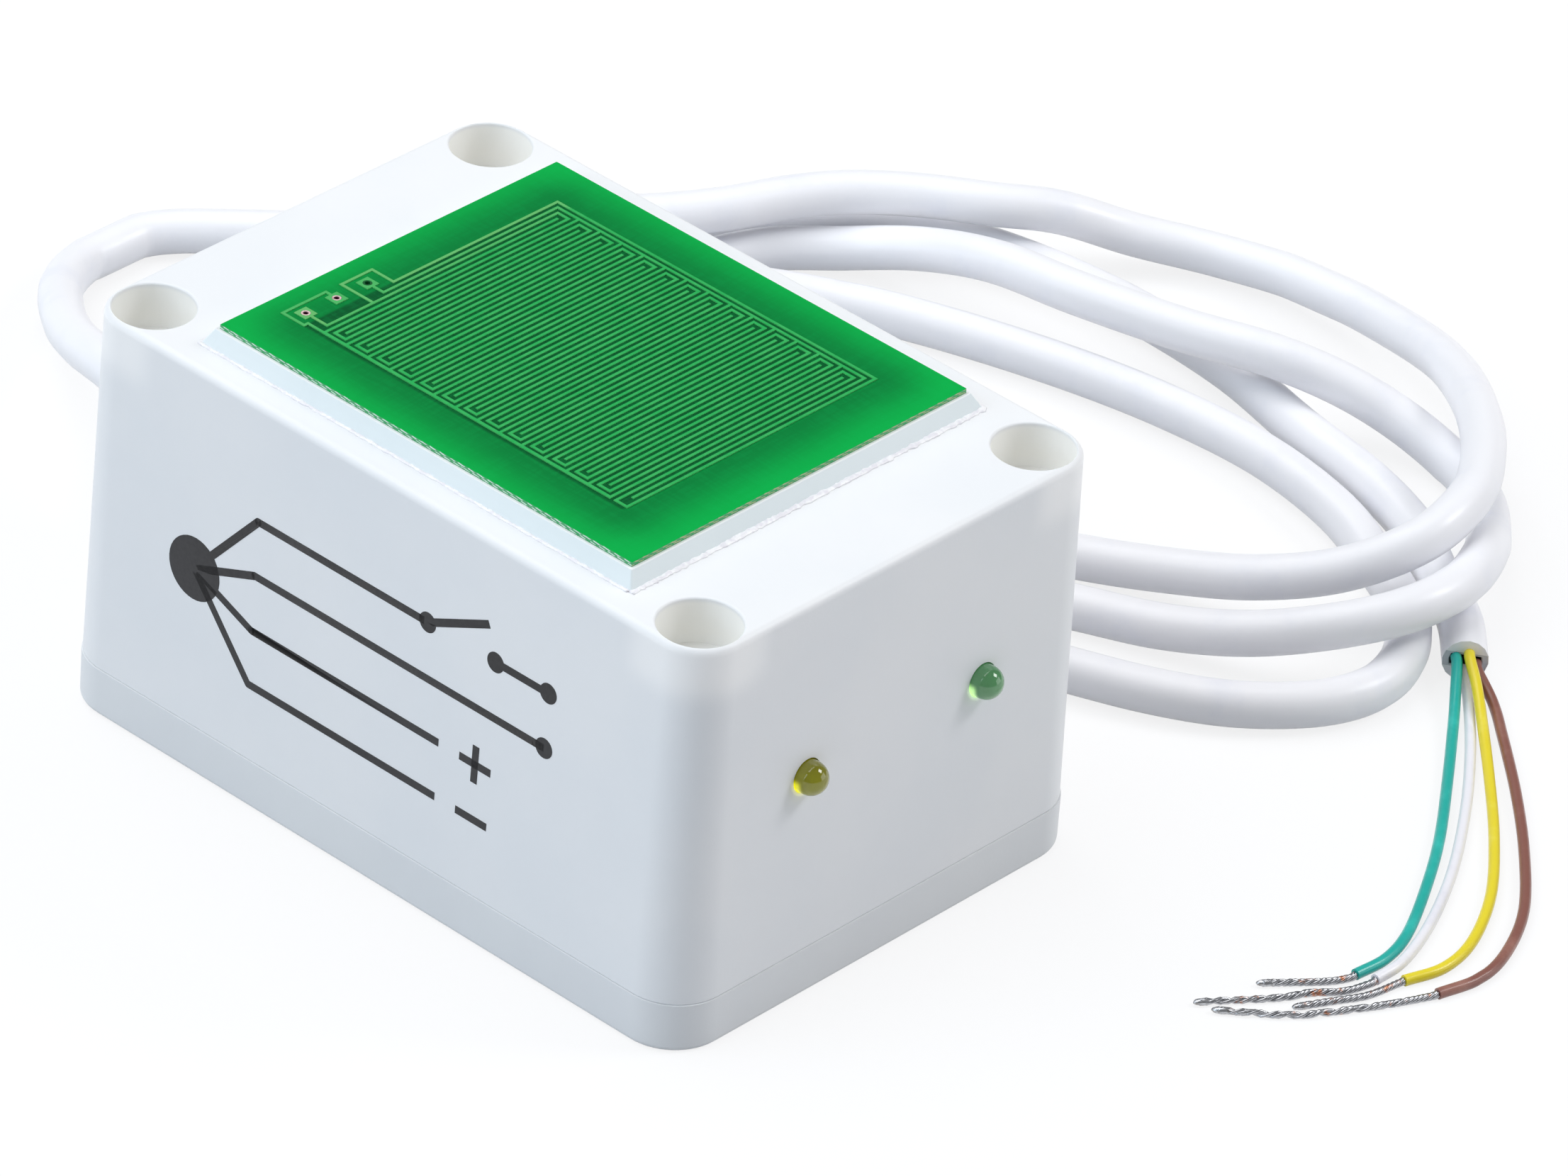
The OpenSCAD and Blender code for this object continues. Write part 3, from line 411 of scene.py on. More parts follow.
@dataclass(frozen=True)
class SolderMask(Finish):
    """Green mask over the sensing board with faint fibres; its darkening in and round the
    pattern is painted shade.
    """

    gap: Colour
    near: Colour
    far: Colour
    centre: Pair
    half: Pair
    edge: Pair = (0.05 * MM, 0.45 * MM)
    fade: Pair = (0.6 * MM, 6.5 * MM)
    fibre: Colour = srgb(0, 186, 92)
    fibre_share: float = 0.08
    weave: float = 3600.0
    wobble: float = 1 * MM
    depth: float = 0.012 * MM

    def build(self, graph: Graph) -> None:
        """Builds the painted shade by distance from the pattern, the fibres and the gloss.

        Args:
            graph: The empty node tree.
        """
        x, y, _ = graph.axes()
        wobble = graph.times(graph.minus(graph.noise(90, 2), 0.5), self.wobble)
        out = []
        for axis, centre, half in ((x, self.centre[0], self.half[0]),
                                   (y, self.centre[1], self.half[1])):
            away = graph.math("ABSOLUTE", graph.minus(axis, centre))
            out.append(graph.math("MAXIMUM", graph.minus(away, half), 0.0))
        distance = graph.distance((out[0], out[1]), (0.0, 0.0))
        # Painted shade: darker towards the pattern and darkest in its gaps.
        shade = graph.mix(graph.span(graph.plus(distance, wobble), *self.fade), self.near,
                          self.far)
        shade = graph.mix(graph.span(distance, *self.edge), self.gap, shade)
        warp = graph.noise(self.weave, 3, (1.0, 0.08, 1.0))
        weft = graph.noise(self.weave, 3, (0.08, 1.0, 1.0))
        fibre = graph.times(warp, weft)
        shine = graph.span(fibre, 0.2, 0.36, to=(0.0, self.fibre_share))
        graph.set(Base_Color=graph.mix(shine, shade, self.fibre),
                  Roughness=graph.span(fibre, 0.15, 0.4, to=(0.3, 0.42)),
                  Specular_IOR_Level=0.07)
        graph.bump(fibre, 0.2, self.depth)


@dataclass(frozen=True)
class MaskedTrace(Finish):
    """A raised conductor under the mask: a light top and paler shoulders, the pale shoulders
    a painted highlight.
    """

    top: Colour
    shoulder: Colour
    bare: Colour
    height: float
    bare_end: Pair = (-17.2 * MM, -18.4 * MM)
    shoulders: Pair = (-0.05 * MM, -0.01 * MM)
    depth: float = 0.004 * MM

    def build(self, graph: Graph) -> None:
        """Builds the top, painted paler where it runs alone, its mottling and painted
        highlights.

        Args:
            graph: The empty node tree.
        """
        x, _, z = graph.axes()
        # The mottling flecks the top with the painted highlight colour.
        mottle = graph.span(graph.noise(700, 3), 0.3, 0.75, to=(0.0, 0.25))
        # Past the pattern's end, where it runs alone, the top is painted lighter.
        alone = graph.span(x, *self.bare_end)
        top = graph.mix(mottle, graph.mix(alone, self.top, self.bare), self.shoulder)
        # Painted highlight: the shoulder colour along the trace's top edges.
        edge = graph.span(z, *around(self.height, self.shoulders))
        graph.set(Base_Color=graph.mix(edge, self.shoulder, top), Roughness=0.35,
                  Specular_IOR_Level=0.15)
        graph.bump(graph.noise(2600, 3), 0.1, self.depth)


@dataclass(frozen=True)
class Laminate(Finish):
    """Sawn edge of the glass-fibre board: pale fibre layers with green burrs."""

    pale: Colour
    green: Colour
    brown: Colour
    end_x: float
    top: float
    weave: float = 1.1 * MM
    ply: float = 0.2 * MM
    stray: float = 5.0
    relief: float = 0.3
    cut: float = 0.06 * MM

    def build(self, graph: Graph) -> None:
        """Builds the layers, the burrs and the browner cut at the lamps' end.

        Args:
            graph: The empty node tree.
        """
        x, y, z = graph.axes()
        layers = graph.noise(1500, 3, (1.0, 1.0, 2.0), 0.6)
        deep = graph.times(graph.minus(z, self.top - self.ply / 2), 2 * math.pi / self.ply)
        along = graph.plus(graph.times(graph.plus(x, y), 2 * math.pi / self.weave),
                           graph.times(layers, self.stray))
        along = graph.math("SINE", graph.plus(along, graph.times(deep, 0.5)))
        fibre = graph.plus(graph.times(graph.math("COSINE", deep), self.relief),
                           graph.times(along, self.relief))
        burr = graph.span(graph.plus(fibre, layers), 0.8, 0.5)
        colour = graph.mix(burr, self.pale, self.green)
        brown = graph.mix(burr, self.brown, self.green)
        end = graph.span(x, self.end_x - self.cut, self.end_x)
        graph.set(Base_Color=graph.mix(end, colour, brown), Roughness=0.6)
        graph.bump(layers, 0.6, self.cut)


@dataclass(frozen=True)
class TintedEpoxy(Finish):
    """Clear tinted epoxy of a lamp, with painted shade on its crown, a faint painted glow
    all over and painted gathered light low on its foot.
    """

    body: Colour
    deep: Colour
    glow: Colour
    foot: Point
    radius: float
    gather: Pair = (0.9 * MM, 0.3 * MM)
    light: Pair = (0.16, 0.6)
    depth: float = 0.01 * MM

    def build(self, graph: Graph) -> None:
        """Builds the tint, the crown's painted shade and the painted gathered light.

        Args:
            graph: The empty node tree.
        """
        x, y, z = graph.axes()
        low = graph.times(graph.minus(z, self.foot[2]), LIGHT_WAY[1])
        aside = graph.times(graph.minus(y, self.foot[1]), LIGHT_WAY[0])
        below = graph.math("DIVIDE", graph.plus(low, aside), self.radius)
        # Painted shade: the deep colour darkens the crown's upper side.
        crown = graph.span(below, -1.0, 0.55)
        streak = graph.noise(900, 3)
        body = graph.mix(crown, self.deep, self.body)
        body = graph.mix(graph.span(streak, 0.4, 0.7, to=(0.0, 0.25)), body, self.deep)
        # Painted light: glow gathered low on the foot, and a faint glow over the whole lens.
        near = graph.span(x, *around(self.foot[0], self.gather))
        gather = graph.times(near, graph.span(below, 0.5, 0.85))
        tint = graph.mix(gather, body, self.glow)
        graph.set(Base_Color=tint, Emission_Color=tint, Roughness=0.05, IOR=1.52,
                  Transmission_Weight=0.12, Coat_Weight=0.5, Coat_Roughness=0.03,
                  Emission_Strength=graph.span(gather, 0.0, 1.0, False, self.light))
        graph.bump(graph.noise(700, 2), 0.1, self.depth)


@dataclass(frozen=True)
class Glue(Finish):
    """Cured clear-grey adhesive: glossy and lumpy."""

    colour: Colour
    spots: Colour = srgb(250, 250, 252)
    lumps: float = 1700.0
    depth: float = 0.07 * MM

    def build(self, graph: Graph) -> None:
        """Builds lumps and cloudy spots.

        Args:
            graph: The empty node tree.
        """
        lumps = graph.noise(self.lumps, 4, rough=0.6)
        graph.set(Base_Color=graph.mix(graph.span(lumps, 0.4, 0.62), self.colour, self.spots),
                  Roughness=0.3, Coat_Weight=0.25, Coat_Roughness=0.15)
        graph.bump(lumps, 0.5, self.depth)


@dataclass(frozen=True)
class Metal(Finish):
    """Bare or plated metal with fine rubbing marks and a second tone."""

    colour: Colour
    second: Colour
    roughness: float = 0.3
    marks: float = 1500.0
    stretch: Point = (1, 1, 1)
    shares: Pair = (0.5, 0.75)
    gloss: Pair = (-0.08, 0.12)
    depth: float = 0.02 * MM

    def build(self, graph: Graph) -> None:
        """Builds the two tones and the marks.

        Args:
            graph: The empty node tree.
        """
        marks = graph.noise(self.marks, 4, self.stretch, 0.6)
        tone = graph.span(marks, *self.shares)
        graph.set(Base_Color=graph.mix(tone, self.colour, self.second), Metallic=1.0,
                  Roughness=graph.span(marks, 0.2, 0.8, to=around(self.roughness, self.gloss)))
        graph.bump(marks, 0.3, self.depth)


@dataclass(frozen=True)
class HoleRing(Finish):
    """Copper-pink rings of the board's holes; the last hole is masked over."""

    ring: Colour
    tarnish_and_hole_shade: Colour
    mask: Colour
    height: float
    rim: Pair = (-0.02 * MM, 0.06 * MM)
    masked_y: Pair = (-8 * MM, -7.9 * MM)
    depth: float = 0.01 * MM

    def build(self, graph: Graph) -> None:
        """Builds the ring, the painted shade inside the hole and the masked one.

        Args:
            graph: The empty node tree.
        """
        _, y, z = graph.axes()
        # Below the rim the hole is painted dark as shade; the same colour tints the ring as
        # tarnish.
        rim = graph.span(z, *around(self.height, self.rim))
        tarnish = graph.span(graph.noise(3000, 3), 0.4, 0.7, to=(0.0, 0.5))
        tone = graph.mix(rim, self.tarnish_and_hole_shade, graph.mix(tarnish, self.ring, self.tarnish_and_hole_shade))
        masked = graph.span(y, *self.masked_y)
        graph.set(Base_Color=graph.mix(masked, tone, self.mask), Metallic=0.15, Roughness=0.3)
        graph.bump(graph.noise(3000, 3), 0.2, self.depth)


class Axis(Enum):
    """Which coordinate a banded finish runs along."""

    X = 0
    Y = 1


@dataclass(frozen=True)
class Banded(Finish):
    """Glossy lacquer with painted rings, for small wired parts."""

    colour: Colour
    rings: tuple[tuple[float, float, Colour], ...]
    axis: Axis = Axis.X
    blur: float = 0.04 * MM
    dim: float = 0.8
    depth: float = 0.02 * MM

    def build(self, graph: Graph) -> None:
        """Builds the ground and each ring from its middle and half width.

        Args:
            graph: The empty node tree.
        """
        place = graph.axes()[self.axis.value]
        shade = graph.mix(graph.span(graph.noise(900, 3), 0.4, 0.7), self.colour,
                          dimmed(self.colour, self.dim))
        for middle, half, colour in self.rings:
            away = graph.math("ABSOLUTE", graph.minus(place, middle))
            shade = graph.mix(graph.span(away, half + self.blur, half), shade, colour)
        graph.set(Base_Color=shade, Roughness=0.28, Coat_Weight=0.3)
        graph.bump(graph.noise(1400, 2), 0.3, self.depth)


@dataclass(frozen=True)
class Wound(Finish):
    """Turns of enamelled wire round an upright coil."""

    colour: Colour
    groove: Colour
    pitch: float = 0.16 * MM
    sway: float = 0.3
    depth: float = 0.05 * MM

    def build(self, graph: Graph) -> None:
        """Builds the turns from the height, slightly uneven, with painted shade in the
        grooves.

        Args:
            graph: The empty node tree.
        """
        _, _, z = graph.axes()
        jitter = graph.times(graph.noise(500, 2), self.sway * self.pitch)
        turns = graph.math("FRACT", graph.math("DIVIDE", graph.plus(z, jitter), self.pitch))
        ridge = graph.math("SINE", graph.times(turns, math.pi))
        # Painted shade: the groove colour darkens the grooves between turns.
        graph.set(Base_Color=graph.mix(graph.span(ridge, 0.1, 0.7), self.groove, self.colour),
                  Metallic=0.7, Roughness=0.3, Coat_Weight=0.5)
        graph.bump(ridge, 0.8, self.depth)


@dataclass(frozen=True)
class Floor(Finish):
    """Plain pale floor that keeps a soft shadow."""

    colour: Colour
    dim: float = 0.99
    lift: float = 0.65
    glow: float = 1.25

    def build(self, graph: Graph) -> None:
        """Builds a matt floor, part of which shows as plain white to the camera.

        Args:
            graph: The empty node tree.
        """
        tone = graph.mix(graph.span(graph.noise(3, 2), 0.3, 0.7), self.colour,
                         dimmed(self.colour, self.dim))
        graph.set(Base_Color=tone, Roughness=0.9, Specular_IOR_Level=0.1)
        path = graph.nodes.new("ShaderNodeLightPath")
        seen = path.outputs["Is Camera Ray"]
        for ray in ("Is Glossy Ray", "Is Transmission Ray"):
            seen = graph.math("MAXIMUM", seen, path.outputs[ray])
        white = graph.add("Emission", Color=srgb(255, 255, 255), Strength=self.glow)
        mixed = graph.nodes.new("ShaderNodeMixShader")
        graph.links.new(graph.times(seen, self.lift), mixed.inputs[0])
        graph.links.new(graph.shader.outputs[0], mixed.inputs[1])
        graph.links.new(white, mixed.inputs[2])
        graph.links.new(mixed.outputs[0], graph.output.inputs[0])


CASE_WHITE = CaseSkin("case_white", srgb(240, 241, 243), srgb(236, 238, 241))
# The base's white is the case's made darker; the darkening is painted shade.
SHADED_BASE_WHITE = Moulded("base_white", srgb(231, 233, 235), srgb(227, 229, 232), 0.46)
# The case's white, darker and greener: painted shade and painted reflection of the board.
PLINTH_SHADED_WHITE = Moulded("plinth_white", srgb(230, 239, 242), srgb(226, 236, 239), 0.46)
CABLE_WHITE = Sheath("cable_white", srgb(246, 246, 250), srgb(240, 241, 248))
SHEATH_CUT = Moulded("sheath_cut", srgb(206, 209, 215), srgb(190, 194, 202), 0.6)
# The cable's bore is painted dark as shade in its hollow end.
BORE_SHADE = Moulded("bore_shade", srgb(70, 72, 80), srgb(50, 52, 58), 0.7)
CORE_GREEN, CORE_WHITE, CORE_YELLOW, CORE_BROWN = (
    Sheath(name, colour, scuff, wave=900, coat=0.35) for name, colour, scuff in (
        ("core_green", srgb(6, 174, 162), srgb(48, 200, 188)),
        ("core_white", srgb(242, 241, 247), srgb(228, 228, 238)),
        ("core_yellow", srgb(235, 216, 34), srgb(246, 232, 96)),
        ("core_brown", srgb(135, 84, 72), srgb(168, 120, 106))))
TINNED = Metal("tinned_copper", srgb(178, 179, 183), srgb(190, 132, 104), 0.2, 900,
               shares=(0.58, 0.7))
SOLDER = Metal("solder", srgb(188, 190, 194), srgb(120, 112, 104), 0.22, 1800)
SCREW_STEEL = Metal("screw_steel", srgb(190, 192, 196), srgb(165, 168, 172), 0.32, 1200,
                    (1, 1, 6))
SOFT_IRON = Metal("soft_iron", srgb(172, 174, 178), srgb(150, 150, 150), 0.36, 1500, (6, 1, 1))
BRONZE = Metal("contact_bronze", srgb(205, 164, 98), srgb(200, 196, 186), 0.3, 700)
SEAL = Moulded("seal_rubber", srgb(52, 54, 58), srgb(42, 43, 46), 0.7)
BOBBIN = Moulded("bobbin_plastic", srgb(214, 206, 178), srgb(205, 196, 166), 0.5)
BLACK = Moulded("black_plastic", srgb(34, 34, 37), srgb(26, 26, 29), 0.55, 5000, 0.03 * MM)
RELAY_BLUE = Moulded("relay_cover", srgb(26, 66, 132), srgb(22, 56, 116), 0.32, coat=0.2)
CAN = Banded("can_sleeve", srgb(34, 42, 74), ((-12.6 * MM, 0.9 * MM, srgb(178, 184, 196)),))
BOARD_GREEN = Moulded("circuit_mask", srgb(12, 92, 58), srgb(16, 108, 66), 0.3, 1400, coat=0.4)
# The coil's second colour is painted shade in its grooves.
COIL = Wound("magnet_wire", srgb(196, 104, 52), srgb(92, 40, 18))


# --------------------------------------------------------------------------- mesh tools


class Shade(Enum):
    """How a piece's faces meet."""

    SOFT = "soft"
    EDGED = "edged"


def stand(name: str, data: bpy.types.ID) -> bpy.types.Object:
    """Makes an object and stands it in the scene.

    Args:
        name: Its name.
        data: Its mesh, curve, light or camera.

    Returns:
        The object.
    """
    made = bpy.data.objects.new(name, data)
    bpy.context.scene.collection.objects.link(made)
    return made


def freeze(name: str, mesh: bmesh.types.BMesh) -> bpy.types.Object:
    """Makes an object of a bmesh.

    Args:
        name: Its name.
        mesh: Its shape, which is freed.

    Returns:
        The object.
    """
    data = bpy.data.meshes.new(name)
    mesh.to_mesh(data)
    mesh.free()
    return stand(name, data)


def evaluated(maker: bpy.types.Object) -> bpy.types.Mesh:
    """Works an object's modifiers or curve out.

    Args:
        maker: The object.

    Returns:
        The mesh that they make.
    """
    bpy.context.view_layer.update()
    graph = bpy.context.evaluated_depsgraph_get()
    return bpy.data.meshes.new_from_object(maker.evaluated_get(graph))


def settle(name: str, mesh: bmesh.types.BMesh, finishes: Sequence[Finish],
           shade: Shade = Shade.EDGED) -> bpy.types.Object:
    """Turns a bmesh into a piece with its finishes.

    Args:
        name: The piece's name.
        mesh: Its shape, which is freed.
        finishes: One finish for each material number.
        shade: Smooth all over, or with sharp edges.

    Returns:
        The new object.
    """
    piece = freeze(name, mesh)
    for finish in finishes:
        piece.data.materials.append(finish.material())
    piece.data.shade_smooth()
    if shade is Shade.EDGED:
        piece.data.set_sharp_from_angle(angle=SHARP_ANGLE)
        normals = piece.modifiers.new("even_normals", "WEIGHTED_NORMAL")
        normals.keep_sharp = True
    return piece


def mount(piece: bpy.types.Object, slot: str, *nodes: str) -> bpy.types.Object:
    """Puts a piece on the case in place of its solids.

    Args:
        piece: The piece.
        slot: The record's material slot; not used.
        *nodes: The solids that it stands for.

    Returns:
        The same piece.
    """
    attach(piece, CASE)
    if nodes:
        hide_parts(*nodes)
    log.info("%s: %d faces", piece.name, len(piece.data.polygons))
    return piece


def close(mesh: bmesh.types.BMesh) -> bmesh.types.BMesh:
    """Fills a shape's open rims and points its faces outwards.

    Args:
        mesh: The shape.

    Returns:
        The same shape.
    """
    rims = [edge for edge in mesh.edges if edge.is_boundary]
    if rims:
        bmesh.ops.holes_fill(mesh, edges=rims, sides=0)
    bmesh.ops.recalc_face_normals(mesh, faces=mesh.faces[:])
    return mesh


def rounded_block(half: Pair, radius: float, low: float, high: float, lean: float = 0.0
                  ) -> bmesh.types.BMesh:
    """Upright block with round corners whose sides may lean inwards.

    Args:
        half: Half its length and depth at the foot.
        radius: Radius of its upright corners at the foot.
        low: Height of the foot.
        high: Height of the top.
        lean: How far the sides lean inwards between foot and top.

    Returns:
        The block.
    """
    mesh = bmesh.new()
    bmesh.ops.create_grid(mesh, x_segments=1, y_segments=1, size=1.0)
    bmesh.ops.scale(mesh, vec=(half[0], half[1], 1.0), verts=mesh.verts)
    bmesh.ops.translate(mesh, vec=(0.0, 0.0, low), verts=mesh.verts)
    bmesh.ops.bevel(mesh, geom=mesh.verts[:], offset=radius, segments=CORNER_FACETS,
                    profile=0.5, affect="VERTICES", material=-1)
    bmesh.ops.inset_region(mesh, faces=mesh.faces[:], thickness=lean, depth=high - low,
                           use_boundary=True, use_even_offset=True)
    return close(mesh)


def turned(profile: Iterable[Pair], centre: Pair, steps: int = 48) -> bmesh.types.BMesh:
    """Upright turned shape.

    Args:
        profile: Radius and height of each point, from the axis and back to it.
        centre: Where its axis stands.
        steps: Facets round it.

    Returns:
        The closed shape.
    """
    mesh = bmesh.new()
    points = [mesh.verts.new((radius, 0.0, height)) for radius, height in profile]
    edges = [mesh.edges.new(pair) for pair in zip(points, points[1:])]
    bmesh.ops.spin(mesh, geom=points + edges, cent=(0, 0, 0), axis=(0, 0, 1),
                   angle=2 * math.pi, steps=steps, use_merge=True)
    bmesh.ops.remove_doubles(mesh, verts=mesh.verts[:], dist=WELD)
    bmesh.ops.recalc_face_normals(mesh, faces=mesh.faces[:])
    bmesh.ops.translate(mesh, vec=(centre[0], centre[1], 0.0), verts=mesh.verts)
    return mesh


def post(centre: Pair, low: float, high: float, radius: float, steps: int = 48
         ) -> bmesh.types.BMesh:
    """Upright round bar between two heights."""
    return turned(((0, low), (radius, low), (radius, high), (0, high)), centre, steps)


def posts(centres: Iterable[Pair], low: float, high: float, radius: float, steps: int = 48
          ) -> list[bmesh.types.BMesh]:
    """Upright round bars, all alike, one at each place."""
    return [post(centre, low, high, radius, steps) for centre in centres]


def brick(low: Point, high: Point) -> bmesh.types.BMesh:
    """Box between two corners.

    Args:
        low: The corner with the lowest coordinates.
        high: The opposite corner.

    Returns:
        The box.
    """
    mesh = bmesh.new()
    bmesh.ops.create_cube(mesh, size=1.0)
    size = [b - a for a, b in zip(low, high)]
    middle = [(a + b) / 2 for a, b in zip(low, high)]
    bmesh.ops.scale(mesh, vec=size, verts=mesh.verts)
    bmesh.ops.translate(mesh, vec=middle, verts=mesh.verts)
    return mesh


def rim_edges(mesh: bmesh.types.BMesh, height: float) -> list[bmesh.types.BMEdge]:
    """Finds the edges round a flat face.

    Args:
        mesh: The shape.
        height: The face's height.

    Returns:
        The edges.
    """
    return [edge for edge in mesh.edges
            if all(abs(vert.co.z - height) < 2 * WELD for vert in edge.verts)
            and edge.calc_face_angle(0.0) > 0.5]


def soften(mesh: bmesh.types.BMesh, edges: list[bmesh.types.BMEdge], width: float,
           segments: int) -> None:
    """Rounds edges off in place."""
    bmesh.ops.bevel(mesh, geom=edges, offset=width, segments=segments, profile=0.5,
                    affect="EDGES", material=-1)


class Cut(Enum):
    """What a tool shape does to a piece."""

    REMOVE = "DIFFERENCE"
    JOIN = "UNION"


Steps = list[tuple[Cut, bmesh.types.BMesh]]


def each(cut: Cut, shapes: Iterable[bmesh.types.BMesh]) -> Steps:
    """The same kind of step for several tool shapes, in their order."""
    return [(cut, shape) for shape in shapes]


def carve(mesh: bmesh.types.BMesh, steps: Steps) -> bmesh.types.BMesh:
    """Cuts tool shapes from a shape, or joins them to it.

    Args:
        mesh: The shape, which is freed.
        steps: What each tool does, in order; the tools are freed.

    Returns:
        The carved shape.
    """
    blank = freeze("blank", mesh)
    for cut, shape in steps:
        tool = freeze("tool", shape)
        change = blank.modifiers.new("cut", "BOOLEAN")
        change.operation = cut.value
        change.solver = "EXACT"
        change.object = tool
        fresh = evaluated(blank)
        blank.modifiers.clear()
        blank.data = fresh
        bpy.data.objects.remove(tool)
    carved = bmesh.new()
    carved.from_mesh(blank.data)
    bpy.data.objects.remove(blank)
    bmesh.ops.remove_doubles(carved, verts=carved.verts[:], dist=CUT_WELD)
    return carved


# --------------------------------------------------------------------------- cords


def catmull(points: Sequence[Vector], steps: int) -> list[Vector]:
    """Smooth line through points.

    Args:
        points: The points.
        steps: Pieces between two of them.

    Returns:
        The line's points, ends included.
    """
    ends = [2 * points[0] - points[1], *points, 2 * points[-1] - points[-2]]
    line = []
    for a, b, c, d in zip(ends, ends[1:], ends[2:], ends[3:]):
        for step in range(steps):
            t = step / steps
            line.append(0.5 * (2 * b + (c - a) * t + (2 * a - 5 * b + 4 * c - d) * t ** 2
                               + (3 * b - a - 3 * c + d) * t ** 3))
    line.append(points[-1].copy())
    return line


def sweep(name: str, lines: Sequence[Sequence[Vector]], radius: float, facets: int = 6,
          widths: Sequence[Sequence[float]] | None = None) -> bmesh.types.BMesh:
    """Round tubes along lines.

    Args:
        name: Name of the curve that makes them.
        lines: The lines.
        radius: The tubes' radius.
        facets: Steps in a quarter of their outline, less one.
        widths: Factor on the radius at each point of each line.

    Returns:
        The tubes' shape with closed ends.
    """
    curve = bpy.data.curves.new(name, "CURVE")
    curve.dimensions = "3D"
    curve.bevel_depth = radius
    curve.bevel_resolution = facets
    curve.use_fill_caps = True
    for number, line in enumerate(lines):
        spline = curve.splines.new("POLY")
        spline.points.add(len(line) - 1)
        for k, (target, place) in enumerate(zip(spline.points, line)):
            target.co = (*place, 1.0)
            target.radius = widths[number][k] if widths else 1.0
    maker = stand(name, curve)
    data = evaluated(maker)
    mesh = bmesh.new()
    mesh.from_mesh(data)
    bpy.data.objects.remove(maker)
    bpy.data.meshes.remove(data)
    bmesh.ops.remove_doubles(mesh, verts=mesh.verts[:], dist=WELD)
    bmesh.ops.recalc_face_normals(mesh, faces=mesh.faces[:])
    return mesh


@dataclass
class Cord:
    """One insulated cord that lies along a given route."""

    name: str
    node: str
    slot: str
    finish: Finish
    width: float
    route: Sequence[Point]
    steps: int = 8
    piece: bpy.types.Object | None = None

    def places(self) -> list[Vector]:
        """The route's points, kept above the floor."""
        return [Vector((x * MM, y * MM, max(z * MM, self.width / 2)))
                for x, y, z in self.route]

    def line(self) -> list[Vector]:
        """Smooths the route and keeps it inside the part's own box.

        Returns:
            The points of the cord's middle.
        """
        low, high = (Vector(corner) for corner in CAD_BOUNDS)
        lift = self.width / 2
        return [Vector(min(max(value, a + lift), b - lift)
                       for value, a, b in zip(place, low, high))
                for place in catmull(self.places(), self.steps)]

    def build(self) -> bpy.types.Object:
        """Sweeps the cord and puts it on the case.

        Returns:
            The cord's piece.
        """
        mesh = self.dress_ends(sweep(self.name, [self.line()], self.width / 2))
        self.piece = settle(self.name, mesh, self.finishes())
        return mount(self.piece, self.slot, self.node)

    def finishes(self) -> list[Finish]:
        """The cord's finishes."""
        return [self.finish]

    def dress_ends(self, mesh: bmesh.types.BMesh) -> bmesh.types.BMesh:
        """Leaves the cord's ends plainly cut."""
        return mesh

    def declare(self, exit_point: Vector, pieces: Sequence[bpy.types.Object | str] = (),
                stiffness: str = "limp") -> None:
        """Args:
            exit_point: Where it leaves the case or another cord; not used.
            pieces: The pieces on it; not used.
            stiffness: How stiff it is; not used.
        """
        line = self.line()


@dataclass
class Cable(Cord):
    """The outer cable, whose far end shows its cut sheath and a bore dark with painted shade.

    Each step of the cut holds a share of the sheath's radius, a depth and a material number.
    """

    cut: tuple[tuple[float, float, int], ...] = (
        (0.97, 0.06 * MM, 0), (0.74, 0.02 * MM, 1), (0.69, 0.12 * MM, 1), (0.68, 1.6 * MM, 2))

    def finishes(self) -> list[Finish]:
        """The sheath, its cut and the painted shade of its bore."""
        return [self.finish, SHEATH_CUT, BORE_SHADE]

    def dress_ends(self, mesh: bmesh.types.BMesh) -> bmesh.types.BMesh:
        """Hollows the far end out so that the cores come out of a bore.

        Args:
            mesh: The cable's shape.

        Returns:
            The same shape.
        """
        line = self.line()
        end, way = line[-1], (line[-1] - line[-2]).normalized()
        cap = [face for face in mesh.faces if face.normal.dot(way) > 0.99
               and (face.calc_center_median() - end).length < self.width / 4]
        edges = {edge for face in cap for edge in face.edges
                 if sum(other in cap for other in edge.link_faces) == 1}
        bmesh.ops.delete(mesh, geom=cap, context="FACES")
        rim = [edge for edge in edges if edge.is_valid]
        for share, sink, material in self.cut:
            rim = self.step_in(mesh, rim, end, way, share, sink, material)
        # The bore's floor takes the painted shade too.
        bmesh.ops.contextual_create(mesh, geom=rim, mat_nr=2)
        bmesh.ops.recalc_face_normals(mesh, faces=mesh.faces[:])
        return mesh

    def step_in(self, mesh: bmesh.types.BMesh, rim: list[bmesh.types.BMEdge], end: Vector,
                way: Vector, share: float, sink: float, material: int
                ) -> list[bmesh.types.BMEdge]:
        """Draws a rim of edges in to a share of the sheath's radius.

        Args:
            mesh: The cable's shape.
            rim: The open edges.
            end: Middle of the cut.
            way: Direction out of it.
            share: New radius, as a share of the sheath's.
            sink: How deep the new rim lies behind the cut.
            material: Material number of the new faces.

        Returns:
            The new open edges.
        """
        made = bmesh.ops.extrude_edge_only(mesh, edges=rim)["geom"]
        for vert in (item for item in made if isinstance(item, bmesh.types.BMVert)):
            out = vert.co - end
            out -= way * out.dot(way)
            vert.co = end + out.normalized() * (self.width / 2 * share) - way * sink
        for face in (item for item in made if isinstance(item, bmesh.types.BMFace)):
            face.material_index = material
        return [item for item in made if isinstance(item, bmesh.types.BMEdge)
                and item.is_boundary]


